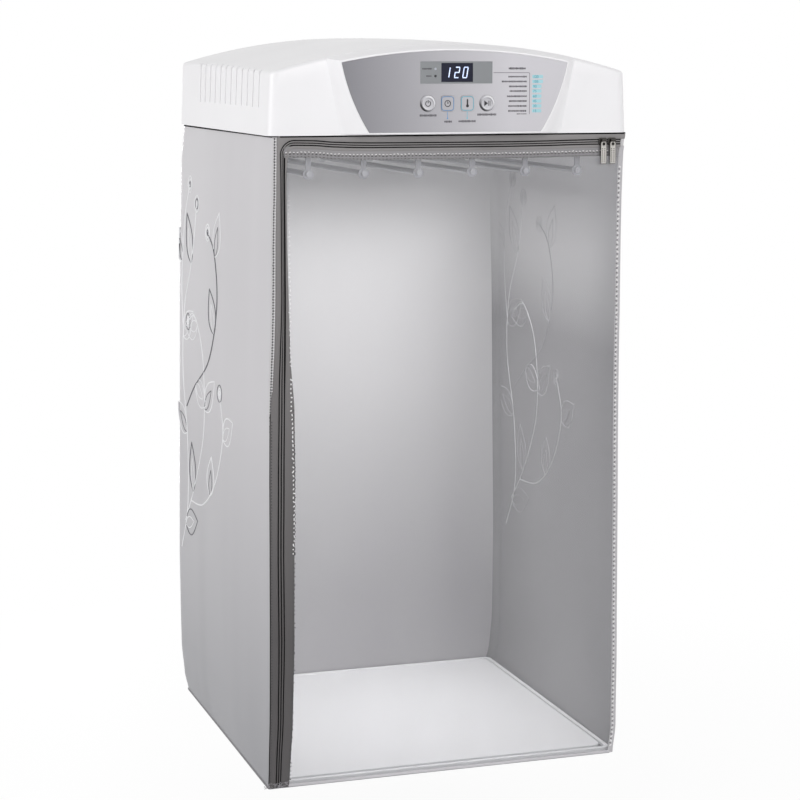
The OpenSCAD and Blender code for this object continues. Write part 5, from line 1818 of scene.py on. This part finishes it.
class DRYER_OT_panel_print(bpy.types.Operator):
    """Prints the panel: lines to the keys, the programme list and its plain numbers"""
    bl_idname = "dryer.panel_print"
    bl_label = "Panel print"

    rows = (81.0, 74.2, 67.3, 60.7, 53.4, 46.6, 39.6, 32.7)
    widths = (28, 38, 27, 26, 30, 27, 28, 28)
    minutes = ("120", "105", "90", "75", "60", "45", "30", "15")
    list_end = 106.4
    line_right = 110.8
    line_top = 86.6

    def execute(self, context):
        dice = random.Random(41)
        dark = bmesh.new()
        tick_row(dark, 78.7, 105.2, 92.6, 3.0, dice, FACE_Y - 0.05)
        for z, wide in zip(self.rows, self.widths):
            tick_row(dark, self.list_end - wide, self.list_end, z, 2.5, dice, FACE_Y)
        tick_row(dark, 91.5, self.list_end, 28.4, 1.4, dice, FACE_Y)
        for x, wide, z in ((-42.2, 25, 27.2), (46, 28.5, 27.9), (-12.4, 11.5, 18.4),
                           (16.3, 26, 18.7)):
            tick_row(dark, x - wide / 2, x + wide / 2, z, 3.0, dice, FACE_Y)
        for x0, x1, z in ((-51, -36.6, 92.2), (-45, -36.6, 82)):
            tick_row(dark, x0, x1, z, 2.2, dice, face_of("display_window"))
        self.ink(dark, "panel_marks_dark", "dark panel ink", tone(64, 60, 67))
        line, bow = bmesh.new(), 1.6
        bend = [(self.line_right - bow + bow * math.sin(a), self.line_top - bow + bow * math.cos(a))
                for a in steps(0, math.pi / 2, 5)]
        self.list_line(line, [(55.6, self.line_top)] + bend + [(self.line_right, 28)], 0.7)
        self.ink(line, "panel_line", "grey panel ink", tone(104, 100, 107))
        for name, x, colour in (("time_key_line", BUTTON_X[1], tone(98, 148, 196)),
                                ("temperature_key_line", BUTTON_X[2], tone(112, 186, 204))):
            work, top = bmesh.new(), BUTTON_Z - KEY_HALF_H
            flat_print(work, bar_loop(x - 0.4, x + 0.4, top - 9.2, top - 0.4), FACE_Y)
            flat_print(work, disc_loop(x, top - 10, 1.15, 16), FACE_Y)
            self.ink(work, name, name.replace("_", " ") + " ink", colour)
        self.values()
        return {"FINISHED"}

    def ink(self, work, name, ink_name, colour):
        finish_piece(work, name, print_ink(ink_name, colour), slot="silver_panel")

    def list_line(self, work, points, wide):
        """Printed line of even width along a path."""
        sides = [], []
        for i, (x, z) in enumerate(points):
            a, b = points[max(i - 1, 0)], points[min(i + 1, len(points) - 1)]
            length = math.dist(a, b)
            nx, nz = -(b[1] - a[1]) / length * wide / 2, (b[0] - a[0]) / length * wide / 2
            sides[0].append((x + nx, z + nz))
            sides[1].append((x - nx, z - nz))
        line_print(work, *sides, FACE_Y, 0.1)

    def values(self):
        """Pale bars with a plain number of minutes on each."""
        bars, figures = bmesh.new(), bmesh.new()
        for k, z in enumerate(self.rows):
            less = 0 if k < 2 else 1.1
            flat_print(bars, rounded_loop(123 - less, z, 8.2 - less, 2.35, 0.6, 3), FACE_Y, 0.08)
        self.ink(bars, "minute_bars", "pale teal ink", tone(166, 212, 221))
        upright = Matrix.Rotation(math.pi / 2, 4, "X")
        for text, z in zip(self.minutes, self.rows):
            curve = bpy.data.curves.new("minutes", "FONT")
            curve.body = text
            curve.size = 5.4 * MM
            curve.extrude = 0.05 * MM
            maker = link_object("minutes", curve)
            graph = bpy.context.evaluated_depsgraph_get()
            mesh = bpy.data.meshes.new_from_object(maker.evaluated_get(graph))
            mesh.transform(Matrix.Translation(at(116.2, FACE_Y - 0.12, z - 1.9)) @ upright)
            figures.from_mesh(mesh)
            bpy.data.objects.remove(maker)
            bpy.data.curves.remove(curve)
            bpy.data.meshes.remove(mesh)
        self.ink(figures, "minute_numbers", "teal ink", tone(58, 148, 168))


class DRYER_OT_pull_tabs(bpy.types.Operator):
    """Builds the two metal pull tabs with their eyes; a dark back blade shows round each face as a
    painted shadow rim, and two rows of dark discs stand for holes as painted shade
    """
    bl_idname = "dryer.pull_tabs"
    bl_label = "Pull tabs"

    def execute(self, context):
        for name, body in (("pull_tab_left", "tab_l"), ("pull_tab_right", "tab_r")):
            low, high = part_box(name)
            x, pin_y, _ = middle_of(name)
            knuckle = (high.z - HEAD_FOOT) / MM - 2.2
            foot = (low.z - HEAD_FOOT) / MM
            eye = knuckle - 5.4
            back, face, painted_hole_shades = (bmesh.new() for _ in range(3))
            # The back blade is dark and a little larger than the face, so it shows as a painted shadow
            # rim round it.
            self.blade(back, x, pin_y, eye, foot, 0.0, (-0.35, 0.7))
            self.knuckle(back, x, pin_y, knuckle, eye)
            self.blade(face, x, pin_y, eye, foot, 0.55, (-0.7, -0.3))
            # Painted shade: dark discs in two rows stand for holes.
            for dx in (-2.1, 1.6):
                for k in range(7):
                    prism(painted_hole_shades, disc_loop(x + dx, foot + 3.6 + k * 3.0, 0.85, 10),
                          (pin_y - 0.78, pin_y - 0.2))
            for work, word, material in ((back, "_back", dark_metal_and_painted_rim_shade()),
                                         (face, "_metal", pull_metal())):
                plate = finish_piece(work, name + word, material, body=body, slot="pull_metal",
                                     replaces=[name] if word == "_metal" else (), angle=30)
                hole = bmesh.new()
                prism(hole, disc_loop(x, eye, 2.3, 28), (pin_y - 4, pin_y + 4))
                cut_away(plate, hole, 30)
            finish_piece(painted_hole_shades, name + "_holes", zip_metal(), body=body, slot="pull_metal")
            middle = at(x, pin_y, eye)
            ring = [at(px, pin_y, pz) for px, pz in disc_loop(x, eye, 3.2, 32)]
            rim = lofted([[p + (p - middle).normalized() * 0.7 * MM * math.cos(a)
                           + Vector((0, MM * math.sin(a), 0)) for a in turns(8)] for p in ring],
                         closed=True)
            finish_piece(rim, name + "_eye", pull_metal(), body=body, slot="pull_metal")
        return {"FINISHED"}

    def blade(self, work, x, y, eye, foot, inset, depth):
        """Flat tongue with a round head; its eye is cut afterwards."""
        half, wide, corner, ease = 4.75 - inset, 4.6 - inset, 0.9, 0.14
        foot += inset
        turn = math.acos(wide / half)
        quarter = steps(0, math.pi / 2, 4)
        outline = [(x + half * math.cos(a), eye + half * math.sin(a))
                   for a in steps(-turn, math.pi + turn, 28)]
        outline += [(x - wide + corner * (1 - math.cos(a)), foot + corner * (1 - math.sin(a)))
                    for a in quarter]
        outline += [(x + wide - corner * (1 - math.sin(a)), foot + corner * (1 - math.cos(a)))
                    for a in quarter]
        near, far = depth
        middle_z = (eye + foot) / 2
        loft(work, [[at(px - math.copysign(shrink, px - x), y + dy,
                        pz - math.copysign(shrink, pz - middle_z)) for px, pz in outline]
                    for dy, shrink in ((near, ease), (near + ease, 0.0), (far - ease, 0.0),
                                       (far, ease))])

    def knuckle(self, work, x, y, knuckle, eye):
        """Barrel round the slider's pin, and the neck that joins it to the eye."""
        loft(work, [[at(x + dx, y + r * math.cos(a), knuckle + r * math.sin(a))
                     for a in turns(20)]
                    for dx, r in ((-2.0, 1.8), (-1.7, 2.15), (1.7, 2.15), (2.0, 1.8))])
        corners = ((-1, -1), (1, -1), (1, 1), (-1, 1))
        loft(work, [[at(x + sx * 1.8, y + sy * 0.6, z) for sx, sy in corners]
                    for z in (knuckle + 0.5, eye + 3.4)])


class DRYER_OT_ornament(bpy.types.Operator):
    """Prints a plain ornament of stems, leaves and small rings on the side cloths"""
    bl_idname = "dryer.ornament"
    bl_label = "Side ornament"

    # Stems: places from the rear edge forward, and heights, in millimetres
    stems = (((26, -690), (70, -610), (66, -500), (34, -390), (46, -290), (92, -210), (120, -120)),
             ((52, -640), (118, -570), (176, -470), (168, -360), (116, -300), (70, -312)),
             ((62, -450), (116, -410), (206, -356), (250, -268), (232, -190), (190, -160)),
             ((38, -340), (24, -246), (40, -150), (72, -92)),
             ((92, -600), (176, -590), (250, -540), (290, -462), (268, -400)))

    def execute(self, context):
        inks = (("white", print_ink("white ornament ink", tone(240, 240, 242))),
                ("grey", print_ink("grey ornament ink", tone(96, 96, 102))),
                ("inside", print_ink("pale ornament ink", tone(172, 171, 174))))
        for side, word in ((-1, "left"), (1, "right")):
            works = {kind: bmesh.new() for kind, _ in inks}
            for number, (line, thick) in enumerate(self.lines()):
                outer = works["grey" if number % 3 == 1 else "white"]
                self.draw_line(outer, line, side, -0.3, thick * 2.4)
                self.draw_line(works["inside"], line, side, -1.45, thick * 0.8)
            for kind, ink in inks:
                finish_piece(works[kind], "ornament_%s_%s" % (kind, word), ink,
                             slot="side_cloth")
        return {"FINISHED"}

    def smooth_path(self, points, count=14):
        """Curve that passes through the points."""
        made = []
        for i in range(len(points) - 1):
            near = points[max(i - 1, 0)], points[i], points[i + 1]
            far = points[min(i + 2, len(points) - 1)]
            for t in (k / count for k in range(count)):
                made.append(tuple(0.5 * (2 * b + (c - a) * t + (2 * a - 5 * b + 4 * c - d) * t * t
                                         + (3 * b - a - 3 * c + d) * t ** 3)
                                  for a, b, c, d in zip(*near, far)))
        return made + [points[-1]]

    def lines(self):
        """Every line of the ornament with its half thickness."""
        made = []
        for number, stem in enumerate(self.stems):
            path = self.smooth_path(stem)
            made.append((path, 0.6))
            for k in range(9 + 3 * number, len(path) - 8, 20):
                ahead = math.atan2(path[k + 1][1] - path[k][1], path[k + 1][0] - path[k][0])
                aim = ahead + (0.85 if (k // 20 + number) % 2 else -0.85)
                made.append((self.leaf(path[k], aim, 84 - 5 * number, 21), 0.5))
                made.append((self.leaf(path[k], aim, 58 - 4 * number, 9), 0.4))
            for radius in (13, 8, 4):
                ring = disc_loop(*path[-1], radius, 22)
                made.append((ring + ring[:1], 0.45))
        return made

    def leaf(self, foot, aim, length, half):
        """Outline of a pointed leaf."""
        outline = []
        for k in range(25):
            t = k / 12 if k <= 12 else 2 - k / 12
            off = half * math.sin(math.pi * t ** 0.8) * (1 if k <= 12 else -1)
            along = length * t
            outline.append((foot[0] + along * math.cos(aim) - off * math.sin(aim),
                            foot[1] + along * math.sin(aim) + off * math.cos(aim)))
        return outline

    def draw_line(self, work, line, side, lift, thick):
        """Raised line on a side cloth's surface."""
        points = []
        for along, z in line:
            y = min(BAG_BACK - along - 6, -6)
            points.append(at(side * (side_reach(side, y, z) + lift), y, z))
        add_tube(work, points, thick, 5)


class DRYER_OT_frame_finishes(bpy.types.Operator):
    """Gives every part of the frame that still shows its own finish"""
    bl_idname = "dryer.frame_finishes"
    bl_label = "Frame finishes"

    def execute(self, context):
        rods = [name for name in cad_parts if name.startswith("hanging_rod")]
        finishes = {
            white_shell(): ["head_base", "rear_panel"],
            silver_paint_with_painted_light("silver panel paint"): ["control_panel", "time_key", "temperature_key"],
            plastic("grey window", tone(128, 131, 134), grain=300.0, coat=0.1): ["display_window"],
            plastic("dark digit field", tone(20, 23, 44), gloss=(0.4, 0.5), shade=0.85,
                    grain=300.0, specular=0.2): ["display_module"],
            lit_blue("lit digits"): ["display_digits"],
            two_lenses("indicator lenses"): ["indicator_lenses"],
            circuit_board("circuit board lacquer"): ["control_board"],
            dark_plastic(): ["key_switches", "outlet_grille", "thermal_cutout", "fan",
                             "power_module", "cord_gland"],
            plastic("pale moulded plastic", tone(214, 213, 210), gloss=(0.4, 0.5),
                    shade=0.93): ["fan_shroud"],
            metal("dull comb steel", tone(134, 134, 139), gloss=(0.4, 0.55)): ["front_comb"],
            metal("plated sheet steel", tone(182, 182, 187), gloss=(0.3, 0.48)):
                ["wall_plate", "heater_tray", "motor_bracket", "rear_comb", "hanger_brackets"],
            metal("duct steel", tone(168, 168, 172), gloss=(0.28, 0.45),
                  direction=(6.0, 6.0, 60.0)): ["heater_duct"],
            heater_fins("heater fins"): ["heater_core"],
            painted_can("painted motor can"): ["fan_motor"],
            metal("plated bar", tone(150, 150, 155), gloss=(0.3, 0.42),
                  direction=(30.0, 1.0, 30.0)): ["fan_shaft", "hanger_bar"] + rods,
            metal("screw steel", tone(188, 188, 192), gloss=(0.2, 0.4),
                  direction=(60.0, 60.0, 60.0)): ["cover_screws", "board_screws", "grille_screws"],
            plastic("grey sleeve", tone(150, 150, 154), gloss=(0.5, 0.65), shade=0.85,
                    grain=2200.0, grain_depth=0.00006): ["wiring_loom"],
            dark_metal_and_painted_rim_shade(): ["slider_left", "slider_right"],
        }
        for material, names in finishes.items():
            for name in names:
                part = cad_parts[name]
                part.data.materials.clear()
                part.data.materials.append(material)
        return {"FINISHED"}


CAMERA_PLACE = Vector((-1.047, -3.458, 0.063))
CAMERA_TURN = (18.392, 9.063, 0.069)
CAMERA_LENS = 97.29
LAMPS = (("key_light", (0.7, -3.5, 1.0), (0, -0.3, -0.5), (1.8, 1.8), "key_power", 180),
         ("side_light", (-3.2, -0.9, 0.6), (0, -0.3, -0.4), (2.0, 2.0), "side_power", 180),
         ("back_light", (0, 3.0, -0.6), (0, 0, -0.5), (0.5, 1.2), "back_power", 180),
         ("upper_light", (0, -0.27, -0.14), (0, -0.265, -1.0), (0.4, 0.4), "upper_power", 175),
         ("inner_light", (0, -0.27, -0.13), (0, -0.265, -1.0), (0.4, 0.4), "inner_power", 105))
FLOOR_REACH = 6


class DRYER_OT_stage(bpy.types.Operator):
    """Sets the pale floor, the even white backdrop, the soft lights and the camera"""
    bl_idname = "dryer.stage"
    bl_label = "Stage"

    def floor_material(self):
        """Pale floor: white where the camera sees it, darker only in the soft shadow."""
        material, tree, plain, out = new_material("pale floor")
        patches = noise_value(tree, 3.0, 2.0)
        feed_all(tree, plain, Roughness=0.6,
                 Base_Color=blend_colours(tree, patches, tone(244, 244, 245), tone(250, 250, 250)))
        glow = node(tree, "ShaderNodeEmission", Strength=1.0)
        reach = operate(tree, "ShaderNodeVectorMath", "LENGTH", object_place(tree))["Value"]
        rays = node(tree, "ShaderNodeLightPath").outputs
        seen = maths(tree, "MULTIPLY", rays["Is Camera Ray"],
                     spread(tree, reach, 0.9, 1.0, start=1.0, end=1.9))
        blend = node(tree, "ShaderNodeMixShader")
        for socket, value in zip(blend.inputs, (seen, plain.outputs[0], glow.outputs[0])):
            feed(tree, socket, value)
        feed_all(tree, out, Surface=blend.outputs[0])
        return material

    def sky(self, strength):
        """Even light from all round, seen as plain white by the camera and in reflections."""
        world = bpy.data.worlds.new("studio")
        bpy.context.scene.world = world
        world.use_nodes = True
        tree = world.node_tree
        tree.nodes.clear()
        rays = node(tree, "ShaderNodeLightPath").outputs
        mirrored = maths(tree, "MAXIMUM", rays["Is Glossy Ray"], rays["Is Transmission Ray"])
        seen = maths(tree, "MAXIMUM", rays["Is Camera Ray"], mirrored)
        level = spread(tree, seen, strength, 1.0, start=0.0, end=1.0)
        light = node(tree, "ShaderNodeBackground", Color=(1, 1, 1, 1), Strength=level)
        node(tree, "ShaderNodeOutputWorld", Surface=light.outputs[0])

    def lamp(self, name, place, aim, size, power, angle):
        data = bpy.data.lights.new(name, "AREA")
        data.shape = "RECTANGLE"
        data.size, data.size_y = size
        data.energy = power
        data.spread = math.radians(angle)
        lamp = link_object(name, data)
        lamp.location = place
        lamp.rotation_euler = (Vector(aim) - Vector(place)).to_track_quat("-Z", "Y").to_euler()

    def camera(self):
        yaw, pitch, tilt = (math.radians(a) for a in CAMERA_TURN)
        ahead = Vector((math.sin(yaw) * math.cos(pitch), math.cos(yaw) * math.cos(pitch),
                        -math.sin(pitch)))
        level = Vector((math.cos(yaw), -math.sin(yaw), 0))
        upright = level.cross(ahead)
        right = level * math.cos(tilt) + upright * math.sin(tilt)
        up = upright * math.cos(tilt) - level * math.sin(tilt)
        data = bpy.data.cameras.new("camera")
        data.sensor_width = 36
        data.lens = CAMERA_LENS
        camera = link_object("camera", data)
        camera.matrix_world = (Matrix.Translation(CAMERA_PLACE)
                               @ Matrix((right, up, -ahead)).transposed().to_4x4())
        bpy.context.scene.camera = camera

    def execute(self, context):
        stage = context.scene.dryer_stage
        context.scene.view_settings.view_transform = "Standard"
        self.sky(stage.sky)
        for name, place, aim, size, key, angle in LAMPS:
            self.lamp(name, place, aim, size, getattr(stage, key), angle)
        work = bmesh.new()
        for x, y in ((-1, -1), (1, -1), (1, 1), (-1, 1)):
            work.verts.new((x * FLOOR_REACH, y * FLOOR_REACH, CAD_BOX[0].z - stage.floor_drop))
        work.faces.new(work.verts)
        mesh = bpy.data.meshes.new("studio_floor")
        work.to_mesh(mesh)
        work.free()
        mesh.materials.append(self.floor_material())
        link_object("studio_floor", mesh)
        self.camera()
        return {"FINISHED"}


OPERATORS = [DRYER_OT_head_cover, DRYER_OT_fascia, DRYER_OT_buttons, DRYER_OT_panel_print,
             DRYER_OT_side_cloths, DRYER_OT_ornament, DRYER_OT_back_and_floor,
             DRYER_OT_rail_and_board, DRYER_OT_front_band, DRYER_OT_zip, DRYER_OT_door,
             DRYER_OT_hinge_cloth, DRYER_OT_pull_tabs, DRYER_OT_frame_finishes, DRYER_OT_stage]
SETTINGS = [DryerHeadSettings, DryerBagSettings, DryerStageSettings]


class DRYER_PT_sidebar(bpy.types.Panel):
    """Lists the sizes, the colours and the steps that build the dryer's looks"""
    bl_idname = "DRYER_PT_sidebar"
    bl_label = "Fabric clothes dryer"
    bl_space_type = "VIEW_3D"
    bl_region_type = "UI"
    bl_category = "Dryer"

    def draw(self, context):
        scene = context.scene
        for settings in (scene.dryer_head, scene.dryer_bag, scene.dryer_stage):
            box = self.layout.box()
            for key in settings.__annotations__:
                box.prop(settings, key)
        for operator in OPERATORS:
            self.layout.operator(operator.bl_idname)


CLASSES = SETTINGS + OPERATORS + [DRYER_PT_sidebar]


def register():
    for item in CLASSES:
        bpy.utils.register_class(item)
    bpy.types.Scene.dryer_head = bpy.props.PointerProperty(type=DryerHeadSettings)
    bpy.types.Scene.dryer_bag = bpy.props.PointerProperty(type=DryerBagSettings)
    bpy.types.Scene.dryer_stage = bpy.props.PointerProperty(type=DryerStageSettings)


def unregister():
    del bpy.types.Scene.dryer_stage
    del bpy.types.Scene.dryer_bag
    del bpy.types.Scene.dryer_head
    for item in reversed(CLASSES):
        bpy.utils.unregister_class(item)


def main():
    register()
    for operator in OPERATORS:
        family, name = operator.bl_idname.split(".")
        getattr(getattr(bpy.ops, family), name)()


if __name__ == "__main__":
    main()
